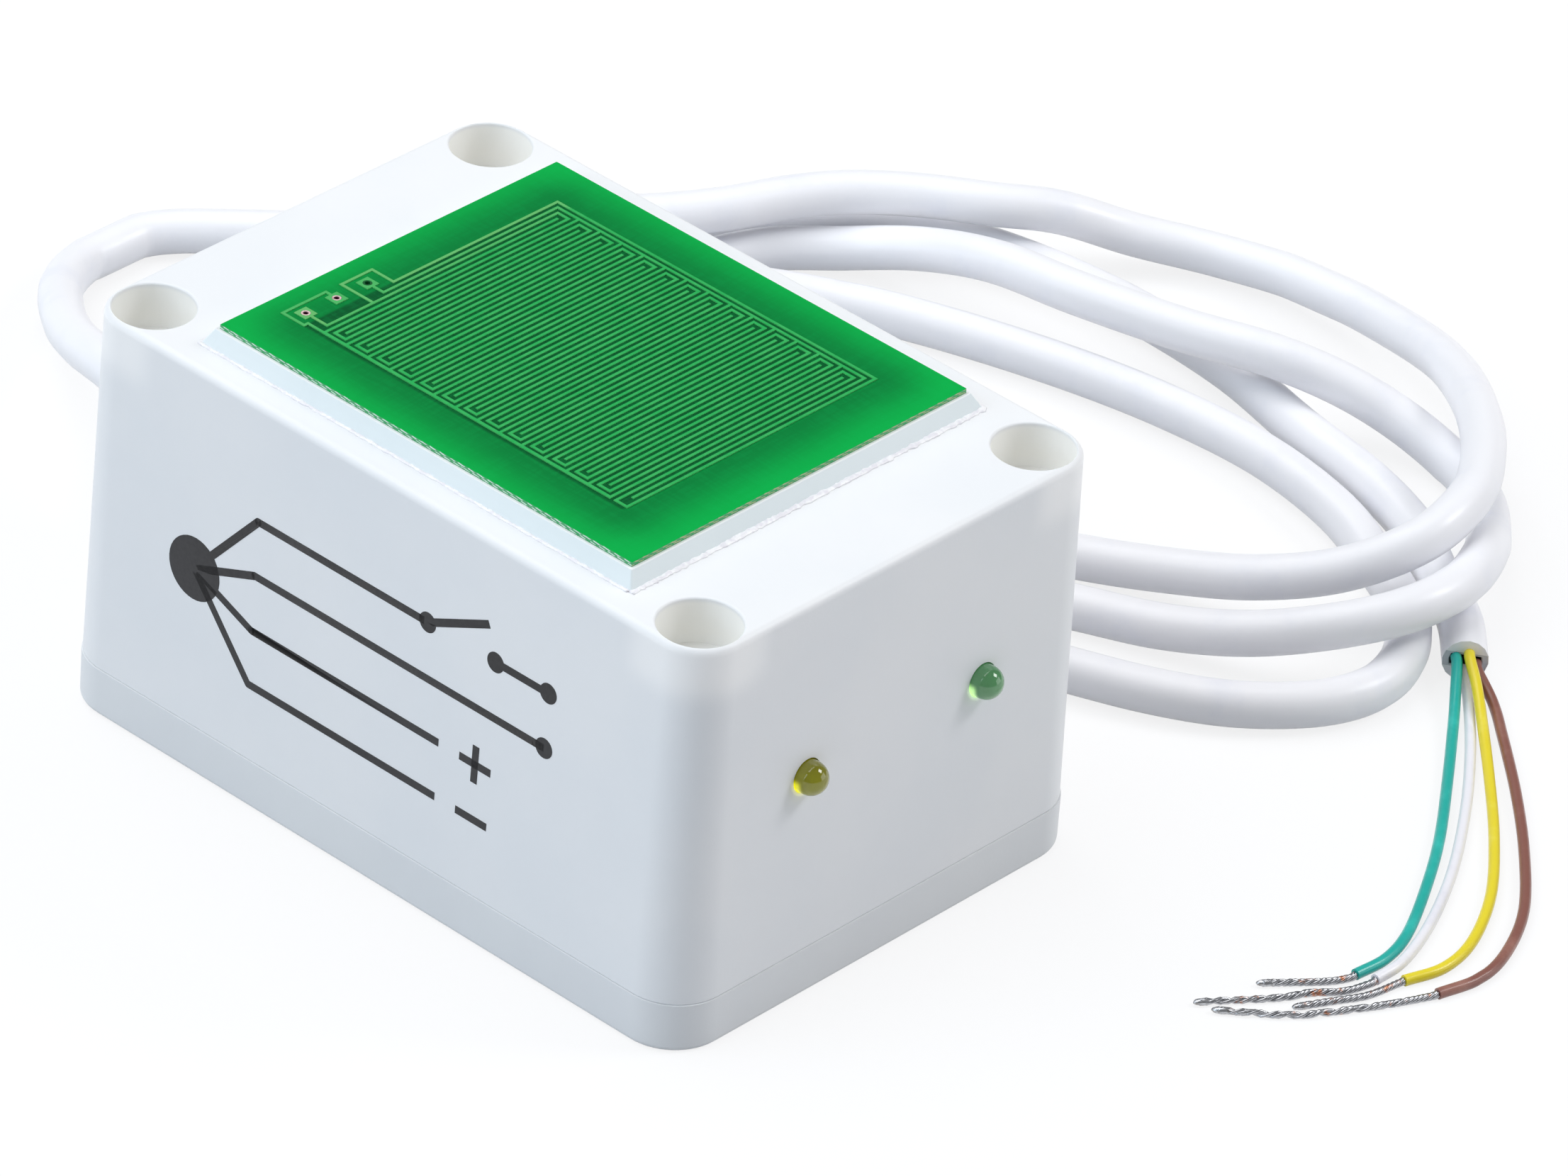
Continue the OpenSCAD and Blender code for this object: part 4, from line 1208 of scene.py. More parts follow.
@dataclass
class TwistedEnd:
    """Twisted and tinned strands at a core's stripped end, with a blob of solder."""

    name: str
    node: str
    route: Sequence[Point]
    width: float = 0.7 * MM
    strands: int = 6
    strand: float = 0.19
    pitch: float = 2.9 * MM
    wander: float = 0.5
    blob: float = 0.36 * MM
    blob_size: Point = (2.6, 1.0, 0.86)
    blob_lift: float = 0.9
    lumps: Pair = (-0.06, 0.05)
    turn: float = 0.0
    seed: int = 1

    def line(self) -> list[Vector]:
        """Smooths the route, kept above the floor.

        Returns:
            The points of the strands' common middle.
        """
        lift = self.width / 2
        points = [Vector((x * MM, y * MM, max(z * MM, lift))) for x, y, z in self.route]
        return catmull(points, 12)

    def build(self) -> bpy.types.Object:
        """Twists the strands and melts solder over their tip.

        Returns:
            The strands' piece.
        """
        line = self.line()
        rng = random.Random(self.seed)
        thin = self.width * self.strand
        reach = self.width / 2 - thin
        lines = [line]
        for strand in range(self.strands):
            phase = self.turn + 2 * math.pi * strand / self.strands
            wander = rng.uniform(-self.wander, self.wander)
            lines.append(self.helix(line, phase, reach, wander))
        mesh = sweep(self.name, lines, thin, 2)
        self.melt(mesh, line, rng)
        piece = settle(self.name, mesh, [TINNED, SOLDER], Shade.SOFT)
        return mount(piece, "tinned_wire", self.node)

    def helix(self, line: Sequence[Vector], phase: float, reach: float, wander: float
              ) -> list[Vector]:
        """One strand's line round the common middle.

        Args:
            line: The common middle.
            phase: Where it starts, in radians.
            reach: Its distance from the middle.
            wander: How much its pitch drifts.

        Returns:
            The strand's points.
        """
        points, gone = [], 0.0
        for k, place in enumerate(line):
            ahead = line[min(k + 1, len(line) - 1)] - line[max(k - 1, 0)]
            way = ahead.normalized()
            side = way.cross(Vector((0, 0, 1))).normalized()
            up = side.cross(way)
            if k:
                gone += (place - line[k - 1]).length
            angle = phase + 2 * math.pi * gone / self.pitch + wander * gone / self.pitch
            points.append(place + reach * (math.cos(angle) * side + math.sin(angle) * up))
        return points

    def melt(self, mesh: bmesh.types.BMesh, line: Sequence[Vector], rng: random.Random
             ) -> None:
        """Adds the solder blob over the tip.

        Args:
            mesh: The strands' shape.
            line: Their middle.
            rng: Source of small unevenness.
        """
        way = (line[-1] - line[-4]).normalized()
        turn = way.to_track_quat("X", "Z").to_matrix().to_4x4()
        middle = line[-1] - way * self.blob
        middle.z = max(middle.z, self.blob * self.blob_lift)
        size = Matrix.Diagonal((*self.blob_size, 1.0))
        made = bmesh.ops.create_icosphere(mesh, subdivisions=3, radius=self.blob,
                                          matrix=Matrix.Translation(middle) @ turn @ size)
        for vert in made["verts"]:
            vert.co += (vert.co - middle) * rng.uniform(*self.lumps)
            for face in vert.link_faces:
                face.material_index = 1


@dataclass
class Harness:
    """The free cable with its four cores and their bare ends."""

    sheath_width: float = 4.1 * MM
    core_width: float = 1.0 * MM
    cable_route: tuple[Point, ...] = (
        (-47, 0, 12), (-52, 0, 12), (-59, 2, 11), (-66.5, 6, 8), (-73.5, 11, 5), (-80, 17, 3),
        (-83, 23.5, 2), (-82.5, 30, 2), (-78, 36, 2), (-71, 42.5, 2.5), (-63, 49, 4.5),
        (-56, 54.5, 7), (-50, 60.5, 7), (-46, 67, 7), (-43.5, 73, 7), (-40.5, 78, 7),
        (-36, 82.5, 7), (-30.5, 86.5, 7), (-26.5, 91.5, 6), (-22, 97, 3.5),
        (-15.5, 101.5, 2.5), (-6.5, 103.5, 3), (4, 102.5, 4), (14.5, 98.5, 6), (24, 91, 8),
        (31, 82.5, 9.5), (34, 76, 10), (34, 70, 9), (30, 65, 6.5), (24, 61, 4.5),
        (17, 58, 3), (9, 54.5, 2), (-1, 49.5, 2), (-12, 45, 2), (-24, 43, 2),
        (-35, 45.5, 2), (-43, 51.5, 2), (-46.5, 60.5, 2), (-44.5, 70, 2), (-39, 76, 2.5),
        (-32, 79, 4.5), (-24, 80, 6.5), (-15, 81, 7), (-5, 83.5, 7), (3.5, 86.5, 7),
        (9.5, 89.5, 5.5), (15, 91.5, 3.5), (21, 91.5, 2), (26.5, 89, 2), (31.5, 84, 3),
        (36.5, 77, 6), (39, 70.5, 7), (38.5, 64, 7), (35, 58.5, 6), (29, 54.5, 4),
        (22, 51.5, 2.5), (14.5, 48.5, 2), (4, 43.5, 2), (-8, 38.5, 2), (-20, 36.5, 2),
        (-31, 38, 3), (-37.5, 42, 5.5), (-41.5, 49, 7), (-41, 57, 5.5), (-38.5, 64.5, 3),
        (-33, 69.5, 2), (-24, 73.5, 2), (-12.5, 77, 2), (-2, 79, 2), (9, 79.5, 2),
        (19.5, 77.5, 2), (28, 73.5, 2), (34.5, 69.5, 2), (38.5, 64.5, 2), (40, 59, 2),
        (38.5, 53.5, 2), (34, 48, 2), (28, 44, 2), (20, 40.5, 2), (7, 35.5, 2),
        (-8, 31.5, 2), (-24, 30.5, 2), (-38, 34, 2), (-47.5, 41.5, 2), (-52.5, 51.5, 2),
        (-53.5, 62, 2), (-50.5, 72, 2), (-44.5, 79.5, 2), (-37.5, 84.5, 2), (-30, 87, 2),
        (-22, 88.5, 2), (-13, 89, 2), (-2, 88, 2), (8, 85.5, 2), (18, 83.5, 2),
        (26, 80.5, 2), (32, 76.5, 2), (38, 72.5, 2), (42.5, 68, 2))
    green_route: tuple[Point, ...] = (
        (41.9, 67.4, 2.4), (42.7, 66.6, 2.4), (44.6, 64.3, 1.6), (47, 61.3, 0.9),
        (52, 54.7, 0.5), (57.3, 47.4, 0.5), (61.2, 41.1, 0.5), (64.6, 34.7, 0.5),
        (65.8, 30.5, 0.5), (65.6, 26.8, 0.5))
    white_route: tuple[Point, ...] = (
        (42.4, 67.9, 1.2), (43.2, 67.1, 1.2), (45.6, 65, 0.5), (50.4, 59.6, 0.5),
        (55.9, 52.5, 0.5), (61.2, 44.5, 0.5), (65, 37.1, 0.5), (67, 31.3, 0.5),
        (67.2, 27.5, 0.5))
    yellow_route: tuple[Point, ...] = (
        (42.7, 68.2, 2.8), (43.5, 67.4, 2.8), (45.7, 65.8, 1.9), (48.9, 62.9, 1),
        (54.5, 57.3, 0.5), (60.5, 50.8, 0.5), (65.7, 44.2, 0.5), (69, 37.9, 0.5),
        (69.9, 33.2, 0.5), (68.9, 29.2, 0.5))
    brown_route: tuple[Point, ...] = (
        (43.2, 68.7, 1.8), (44, 67.9, 1.8), (47, 66.6, 0.6), (50.8, 63.4, 0.5),
        (57.4, 57.4, 0.5), (63.5, 51.2, 0.5), (69, 44.6, 0.5), (72, 38.7, 0.5),
        (72.9, 34.2, 0.5), (72, 29.9, 0.5))
    green_end: tuple[Point, ...] = (
        (65.6, 26.8, 0.5), (65.5, 26.1, 0.4), (64.4, 24.2, 0.3), (61.1, 20.2, 0.3))
    white_end: tuple[Point, ...] = (
        (67.2, 27.5, 0.5), (67.2, 26.8, 0.4), (66.4, 24.4, 0.3), (64.6, 22, 0.3),
        (63.4, 19.6, 0.3), (59.4, 14.2, 0.3))
    yellow_end: tuple[Point, ...] = (
        (68.9, 29.2, 0.5), (68.7, 28.4, 0.4), (68.1, 25.4, 0.3), (66.7, 22.6, 0.3),
        (65.3, 19.9, 0.3))
    brown_end: tuple[Point, ...] = (
        (72, 29.9, 0.5), (71.7, 29.1, 0.4), (70, 25.6, 0.3), (68, 22, 0.3),
        (65.6, 18.4, 0.3), (61.2, 14.5, 0.3))

    def build(self) -> None:
        """Lays the cable, its cores and their ends."""
        cable = Cable("cable_sheath", "cable", "cable_white", CABLE_WHITE, self.sheath_width,
                      self.cable_route)
        cable.build()
        cable.declare(cable.line()[0], stiffness="medium")
        cores = (
            ("green", CORE_GREEN, self.green_route, self.green_end),
            ("white", CORE_WHITE, self.white_route, self.white_end),
            ("yellow", CORE_YELLOW, self.yellow_route, self.yellow_end),
            ("brown", CORE_BROWN, self.brown_route, self.brown_end))
        for number, (name, finish, route, bare) in enumerate(cores):
            end = TwistedEnd(f"strands_{name}", f"end_{name}", bare, turn=0.7 * number,
                             seed=number + 3)
            core = Cord(f"core_{name}", f"wire_{name}", f"core_{name}", finish,
                        self.core_width, route)
            core.build()
            core.declare(core.line()[0], [end.build()])


# --------------------------------------------------------------------------- the case


def lead_places() -> list[Pair]:
    """Finds where the sensor's leads come up, in the middle of the plated rings.

    Returns:
        The three places.
    """
    low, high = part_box("sensor_vias")
    middle, ring = (low + high) / 2, (high.x - low.x) / 2
    return [(middle.x, y) for y in (low.y + ring, middle.y, high.y - ring)]


@dataclass
class Case:
    """Sizes that the case's pieces share."""

    half: Pair = (36.5 * MM, 25 * MM)
    top: float = CASE_TOP
    seam: float = 4.7 * MM
    wall: float = 2 * MM
    roof: float = 2.5 * MM
    corner: float = 5 * MM
    slope: float = math.tan(math.radians(1.25))
    bore: float = 2.15 * MM
    column: float = 5.2 * MM
    screw_inset: float = 2.4 * MM
    screw_y: float = 10 * MM
    pilot: float = 1.45 * MM

    @property
    def columns(self) -> list[Pair]:
        """Places of the four fixing holes and their columns."""
        return self.corners(*FIXING)

    @property
    def screws(self) -> list[Pair]:
        """Places of the four base screws."""
        inside = self.half[0] - self.seam * self.slope - self.wall
        return self.corners(inside - self.screw_inset, self.screw_y)

    def leaning(self, low: float, high: float, inset: float) -> bmesh.types.BMesh:
        """Block that follows the case's leaning sides.

        Args:
            low: Height of its foot.
            high: Height of its top.
            inset: How far inside the case's outline it stands.

        Returns:
            The block.
        """
        shrink = inset + low * self.slope
        return rounded_block((self.half[0] - shrink, self.half[1] - shrink),
                             self.corner - shrink, low, high, (high - low) * self.slope)

    def upright(self, low: float, high: float, inset: float) -> bmesh.types.BMesh:
        """Block with upright sides at an inset from the foot's outline."""
        return rounded_block((self.half[0] - inset, self.half[1] - inset),
                             self.corner - inset, low, high)

    def corners(self, x: float, y: float) -> list[Pair]:
        """The four places at plus and minus x and y."""
        return [(sx * x, sy * y) for sx in (-1, 1) for sy in (-1, 1)]


@dataclass
class Housing(Case):
    """The tapered cover with its counterbored corners, lamp holes and cable hole."""

    fillet: float = 0.7 * MM
    seam_round: float = 0.12 * MM
    bore_mouth: float = 0.15 * MM
    counterbore: float = 3.6 * MM
    counterbore_depth: float = 4.3 * MM
    rim: float = 0.22 * MM
    boss_radius: float = 3 * MM
    boss_top: float = 15.7 * MM
    pilot_top: float = 12.95 * MM
    lamp_hole: float = 1.6 * MM
    inlet_height: float = 12 * MM
    inlet_hole: float = 3.25 * MM
    side_reach: float = 8 * MM
    lead_hole: float = 0.5 * MM

    def build(self) -> bpy.types.Object:
        """Shapes the cover and puts it on the case.

        Returns:
            The cover.
        """
        shell = self.leaning(self.seam, self.top, 0.0)
        soften(shell, rim_edges(shell, self.top), self.fillet, 6)
        soften(shell, rim_edges(shell, self.seam), self.seam_round, 2)
        aside, height = LAMP_PLACE
        holes = [self.cavity(), *(self.screw_hole(place) for place in self.columns),
                 self.side_hole(-aside, height, self.lamp_hole, 1),
                 self.side_hole(aside, height, self.lamp_hole, 1),
                 self.side_hole(0.0, self.inlet_height, self.inlet_hole, -1),
                 *posts(lead_places(), self.top - 2 * self.roof, self.top + OVER,
                        self.lead_hole, 20),
                 *posts(self.screws, self.seam - OVER, self.pilot_top, self.pilot, 24)]
        piece = settle("housing_shell", carve(shell, each(Cut.REMOVE, holes)), [CASE_WHITE])
        return mount(piece, "case_white", "housing")

    def cavity(self) -> bmesh.types.BMesh:
        """Shapes the room inside, clear of the screw columns and bosses.

        Returns:
            The tool shape.
        """
        room = self.leaning(self.seam - OVER / 2, self.top - self.roof, self.wall)
        keep = (posts(self.columns, 0.0, self.top, self.column)
                + posts(self.screws, 0.0, self.boss_top, self.boss_radius, 32))
        return carve(room, each(Cut.REMOVE, keep))

    def screw_hole(self, centre: Pair) -> bmesh.types.BMesh:
        """Shapes a through hole with its counterbore and softly rounded rim.

        Args:
            centre: Where it stands.

        Returns:
            The tool shape.
        """
        floor = self.top - self.counterbore_depth
        arc = [(self.counterbore + self.rim * (1 - math.cos(a)),
                self.top - self.rim * (1 - math.sin(a)))
               for a in (math.radians(15 * k) for k in range(7))]
        profile = [(0.0, 0.0), (self.bore, 0.0), (self.bore, floor - self.bore_mouth),
                   (self.bore + self.bore_mouth, floor), (self.counterbore, floor), *arc,
                   (self.counterbore + self.rim, self.top + OVER), (0.0, self.top + OVER)]
        return turned(profile, centre, 64)

    def side_hole(self, y: float, height: float, radius: float, side: int
                  ) -> bmesh.types.BMesh:
        """Shapes a round hole through an end wall.

        Args:
            y: Its place across the wall.
            height: Its height.
            radius: Its radius.
            side: 1 for the lamps' end, -1 for the cable's.

        Returns:
            The tool shape.
        """
        tool = post((0.0, 0.0), 0.0, self.side_reach, radius, 40)
        half = self.side_reach / 2
        shift = Matrix.Translation((side * (self.half[0] - half) - half, y, height))
        bmesh.ops.transform(tool, matrix=shift @ UP_TO_X, verts=tool.verts)
        return tool


@dataclass
class WiringPrint(Case):
    """Wordless print of how the four cores are used: a contact, plus and minus.

    Its places and spots are in millimetres on the side.
    """

    line: float = 0.75 * MM
    film: float = 0.03 * MM
    sink: float = 0.01 * MM
    root: Pair = (-21.0, 20.0)
    root_spot: float = 3.0
    rows: tuple[float, ...] = (28.0, 22.7, 17.3, 12.0)
    bend: float = -14.0
    bend_spot: float = 0.375
    ends: tuple[float, ...] = (5.4, 19.6, 8.0, 8.0)
    spot: float = 0.95
    contacts: Pair = (5.8, 13.6)
    blade: Pair = (12.6, 3.2)
    sign: Pair = (12.2, 1.8)
    ink: Finish = Moulded("ink", srgb(24, 24, 27), srgb(38, 38, 42), 0.5, 2600, 0.006 * MM)

    def build(self) -> bpy.types.Object:
        """Draws the print on the long leaning side.

        Returns:
            The print.
        """
        first, *others = self.marks()
        mesh = carve(first, each(Cut.JOIN, others))
        angle = math.atan(self.slope)
        along = Vector((1.0, 0.0, 0.0))
        up = Vector((0.0, math.sin(angle), math.cos(angle)))
        out = along.cross(up)
        turn = Matrix((along, up, out)).transposed().to_4x4()
        foot = Vector((0.0, -self.half[1], 0.0)) - out * self.sink
        bmesh.ops.transform(mesh, matrix=Matrix.Translation(foot) @ turn, verts=mesh.verts)
        return mount(settle("wiring_print", mesh, [self.ink]), "case_white")

    def marks(self) -> list[bmesh.types.BMesh]:
        """Draws the cable's end, its four lines, the contact and the two signs.

        Returns:
            The marks, flat.
        """
        marks = [self.dot(*self.root, self.root_spot)]
        for row, end in zip(self.rows, self.ends):
            marks += [self.stroke(self.root, (self.bend, row)),
                      self.stroke((self.bend, row), (end, row)),
                      self.dot(self.bend, row, self.bend_spot)]
        top, second, third, last = self.rows
        (hinge, rest), end = self.contacts, self.ends[1]
        middle, arm = self.sign
        tip, rise = self.blade
        return marks + [
            self.dot(hinge, top, self.spot), self.stroke((hinge, top), (tip, top + rise)),
            self.dot(rest, top, self.spot), self.stroke((rest, top), (end, top)),
            self.dot(end, top, self.spot), self.dot(end, second, self.spot),
            self.stroke((middle - arm, third), (middle + arm, third)),
            self.stroke((middle, third - arm), (middle, third + arm)),
            self.stroke((middle - arm, last), (middle + arm, last))]

    def dot(self, across: float, up: float, radius: float) -> bmesh.types.BMesh:
        """A filled spot."""
        return post((across * MM, up * MM), 0.0, self.film, radius * MM, 36)

    def stroke(self, start: Pair, end: Pair) -> bmesh.types.BMesh:
        """Draws a straight line.

        Args:
            start: Where it starts.
            end: Where it ends.

        Returns:
            The line.
        """
        run = (Vector(end) - Vector(start)) * MM
        middle = (Vector(end) + Vector(start)) * MM / 2
        mesh = bmesh.new()
        place = (Matrix.Translation((middle.x, middle.y, self.film / 2))
                 @ Matrix.Rotation(math.atan2(run.y, run.x), 4, "Z")
                 @ Matrix.Diagonal((run.length, self.line, self.film, 1.0)))
        bmesh.ops.create_cube(mesh, size=1.0, matrix=place)
        return mesh


@dataclass
class BasePlate(Case):
    """The plate that closes the box from below."""

    edge: float = 0.6 * MM
    seam_round: float = 0.1 * MM
    floor: float = 2.2 * MM
    bury: float = 0.2 * MM
    seal_inset: float = 0.6 * MM
    seal_width: float = 0.9 * MM
    seal_depth: float = 0.8 * MM
    standoff: float = 2.5 * MM
    standoff_top: float = 9 * MM
    standoff_hole: float = 1 * MM
    standoff_depth: float = 5 * MM
    board_screw: float = 2 * MM
    screw_column: float = 3.6 * MM
    tongue: Pair = (25.7 * MM, 5.8 * MM)
    tongue_thick: float = 1.2 * MM
    tongue_rise: float = 2 * MM
    tongue_gap: float = 0.15 * MM
    head: float = 2.75 * MM
    head_cone: Pair = (0.1 * MM, 1.7 * MM)

    def build(self) -> bpy.types.Object:
        """Shapes the plate and puts it on the case.

        Returns:
            The plate.
        """
        plate = self.upright(0.0, self.seam, 0.0)
        soften(plate, rim_edges(plate, 0.0), self.edge, 5)
        soften(plate, rim_edges(plate, self.seam), self.seam_round, 2)
        groove = carve(self.upright(self.seam - self.seal_depth, self.seam + OVER,
                                    self.seal_inset),
                       each(Cut.REMOVE, [self.upright(0.0, self.seam + 2 * OVER,
                                                      self.seal_inset + self.seal_width)]))
        joined = self.tongues() + posts(self.standoffs(), self.floor - self.bury,
                                        self.standoff_top, self.standoff, 32)
        holes = [*posts(self.standoffs(), self.standoff_top - self.standoff_depth,
                        self.standoff_top + OVER, self.standoff_hole, 24),
                 *posts(self.columns, -OVER, self.seam + OVER, self.bore),
                 *(self.countersink(place) for place in self.screws)]
        tools = (each(Cut.REMOVE, [self.pocket(), groove]) + each(Cut.JOIN, joined)
                 + each(Cut.REMOVE, holes))
        piece = settle("base_shell", carve(plate, tools), [SHADED_BASE_WHITE])
        return mount(piece, "case_white", "base_plate")

    def standoffs(self) -> list[Pair]:
        """Places of the circuit board's standoffs, under its own screws."""
        _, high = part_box("board_screws")
        return self.corners(high.x - self.board_screw, high.y - self.board_screw)

    def pocket(self) -> bmesh.types.BMesh:
        """Shapes the hollow above the floor, clear of the screw columns.

        Returns:
            The tool shape.
        """
        room = self.upright(self.floor, self.seam + OVER / 2, self.wall)
        keep = (posts(self.columns, 0.0, 2 * self.seam, self.column)
                + posts(self.screws, 0.0, 2 * self.seam, self.screw_column, 32))
        return carve(room, each(Cut.REMOVE, keep))

    def tongues(self) -> list[bmesh.types.BMesh]:
        """Shapes the four ribs that stand inside the cover's walls.

        Returns:
            The ribs.
        """
        foot, top = self.floor - self.bury, self.seam + self.tongue_rise
        out_x, out_y = (half - top * self.slope - self.wall - self.tongue_gap
                        for half in self.half)
        long_x, long_y = self.tongue
        ribs = []
        for side in (-1, 1):
            a, b = sorted((side * out_y, side * (out_y - self.tongue_thick)))
            ribs.append(brick((-long_x, a, foot), (long_x, b, top)))
            a, b = sorted((side * out_x, side * (out_x - self.tongue_thick)))
            ribs.append(brick((a, -long_y, foot), (b, long_y, top)))
        return ribs

    def countersink(self, centre: Pair) -> bmesh.types.BMesh:
        """Shapes the tapered hole under a base screw's head.

        Args:
            centre: Where it stands.

        Returns:
            The tool shape.
        """
        wide, narrow = self.head_cone
        profile = ((0, -OVER), (self.head, -OVER), (self.head, wide), (self.pilot, narrow),
                   (self.pilot, self.seam + OVER), (0, self.seam + OVER))
        return turned(profile, centre, 40)


@dataclass
class GlueBead:
    """Uneven bead of glue, squeezed out along the plinth's foot."""

    half: Pair
    height: float
    radius: float = 0.38 * MM
    flatness: float = 0.5
    pitch: float = 0.3 * MM
    stray: float = 0.05 * MM
    lift: float = 0.07 * MM
    widths: Pair = (0.6, 1.12)
    thinner: float = 0.62
    sunk: float = 0.02 * MM
    seed: int = 11

    def line(self) -> tuple[list[Vector], list[float]]:
        """Walks round the foot. The bead is thickest on the lamps' side.

        Returns:
            The points of the bead's middle, and its width at each.
        """
        rng = random.Random(self.seed)
        x, y = self.half
        corners = [Vector((x, -y, 0)), Vector((x, y, 0)), Vector((-x, y, 0)),
                   Vector((-x, -y, 0)), Vector((x, -y, 0))]
        line, widths = [], []
        for a, b in zip(corners, corners[1:]):
            count = int((b - a).length / self.pitch)
            full = 1.0 if a.x == b.x and a.x > 0 else self.thinner
            for k in range(count):
                spot = a.lerp(b, k / count)
                spot += Vector((rng.uniform(-1, 1), rng.uniform(-1, 1), 0)) * self.stray
                spot.z = self.height + rng.uniform(0.0, self.lift)
                line.append(spot)
                widths.append(full * rng.uniform(*self.widths))
        return line, widths

    def build(self) -> bpy.types.Object:
        """Sweeps the bead, flattens it and cuts its underside off.

        Returns:
            The bead.
        """
        line, widths = self.line()
        mesh = sweep("glue_bead", [line], self.radius, 3, [widths])
        bmesh.ops.scale(mesh, verts=mesh.verts, vec=(1.0, 1.0, self.flatness),
                        space=Matrix.Translation((0, 0, -self.height)))
        bmesh.ops.bisect_plane(mesh, geom=mesh.verts[:] + mesh.edges[:] + mesh.faces[:],
                               plane_co=(0, 0, self.height - self.sunk),
                               plane_no=(0, 0, -1), clear_outer=True)
        glue = Glue("glue", srgb(236, 234, 240))
        piece = settle("glue_bead", close(mesh), [glue], Shade.SOFT)
        return mount(piece, "adhesive", "plinth_adhesive")


@dataclass
class SensorTop:
    """The plinth with its glue bead, the sensing board and the pattern on it."""

    half: Pair = (23.75 * MM, 20 * MM)
    case_top: float = CASE_TOP
    plinth: float = 1.1 * MM
    flare: float = 1.1 * MM
    ramp_round: float = 0.15 * MM
    lip: float = 0.28 * MM
    lip_height: float = 0.38 * MM
    lip_round: float = 0.1 * MM
    gap: float = 0.01 * MM
    bead_out: float = 0.06 * MM
    thickness: float = 0.8 * MM
    board_round: float = 0.05 * MM
    line: float = 0.08 * MM
    plinth_hole: float = 0.5 * MM
    board_hole: float = 0.42 * MM
    comb_centre: Pair = (-0.59 * MM, 0.08 * MM)
    comb_half: Pair = (18.2 * MM, 14.8 * MM)

    @property
    def plinth_top(self) -> float:
        """Height of the plinth's top."""
        return self.case_top + self.plinth

    @property
    def board_top(self) -> float:
        """Height of the board's top."""
        return self.plinth_top + self.thickness

    def build(self) -> None:
        """Builds the plinth, the bead and the board, and dresses the pattern."""
        self.build_plinth()
        GlueBead(self.outline(self.flare + self.bead_out), self.case_top).build()
        self.build_board()
        # Top colour and the shoulders' painted highlight colour.
        tones = srgb(34, 167, 82), srgb(92, 194, 114)
        height = self.board_top + self.line
        # The third colour is the top painted paler where the trace runs alone.
        trace = MaskedTrace("masked_trace", *tones, srgb(70, 172, 92), height)
        dress("electrode_comb_a", trace)
        dress("electrode_comb_b", trace)
        dress("guard_trace", MaskedTrace("guard_mask", *tones, srgb(100, 178, 102), height))
        # Ring colour, the hole's painted shade, which is also the tarnish colour, and the mask
        # colour.
        dress("sensor_vias", HoleRing("plated_hole", srgb(238, 206, 204), srgb(96, 26, 62),
                                      srgb(0, 96, 44), self.board_top))

    def outline(self, out: float) -> Pair:
        """Half the board's length and depth, made larger."""
        return self.half[0] + out, self.half[1] + out

    def build_plinth(self) -> bpy.types.Object:
        """Shapes the bevelled plateau, with a lip round the board's seat.

        Returns:
            The plinth.
        """
        x, y = self.outline(self.lip)
        top = self.plinth_top + self.lip_height
        flare = self.flare - self.lip
        block = brick((-x, -y, self.case_top), (x, y, top))
        foot = [vert for vert in block.verts if vert.co.z < self.plinth_top - self.plinth / 2]
        bmesh.ops.scale(block, verts=foot, vec=(1 + flare / x, 1 + flare / y, 1.0))
        ramps = [edge for edge in block.edges
                 if abs(edge.verts[0].co.z - edge.verts[1].co.z) > 0.5 * self.plinth]
        soften(block, ramps, self.ramp_round, 3)
        soften(block, rim_edges(block, top), self.lip_round, 3)
        x, y = self.outline(self.gap)
        seat = brick((-x, -y, self.plinth_top), (x, y, top + OVER))
        holes = posts(lead_places(), self.case_top - OVER, self.plinth_top + OVER,
                      self.plinth_hole, 24)
        mesh = carve(block, each(Cut.REMOVE, [seat, *holes]))
        # Painted highlight: the lip's upward faces keep the case's brighter white.
        for face in mesh.faces:
            on_lip = face.calc_center_median().z > self.plinth_top + self.lip_height / 2
            face.material_index = 1 if on_lip and face.normal.z > 0.7 else 0
        piece = settle("plinth_block", mesh, [PLINTH_SHADED_WHITE, CASE_WHITE])
        return mount(piece, "case_white", "sensor_plinth")

    def build_board(self) -> bpy.types.Object:
        """Shapes the board: masked on top, sawn laminate round its edge.

        Returns:
            The board.
        """
        x, y = self.half
        mesh = brick((-x, -y, self.plinth_top), (x, y, self.board_top))
        soften(mesh, mesh.edges[:], self.board_round, 2)
        holes = posts(lead_places(), self.plinth_top - OVER, self.board_top + OVER,
                      self.board_hole, 24)
        mesh = carve(mesh, each(Cut.REMOVE, holes))
        for face in mesh.faces:
            face.material_index = 0 if face.normal.z > 0.9 else 1
        # Gap, near and far colours of the mask's painted shade round the pattern.
        mask = SolderMask("solder_mask", srgb(0, 85, 40), srgb(0, 122, 54), srgb(0, 168, 70),
                          self.comb_centre, self.comb_half)
        edge = Laminate("laminate_edge", srgb(216, 236, 222), srgb(72, 168, 108),
                        srgb(176, 186, 140), x, self.board_top)
        piece = settle("sensing_board", mesh, [mask, edge])
        return mount(piece, "solder_mask", "sensor_board")


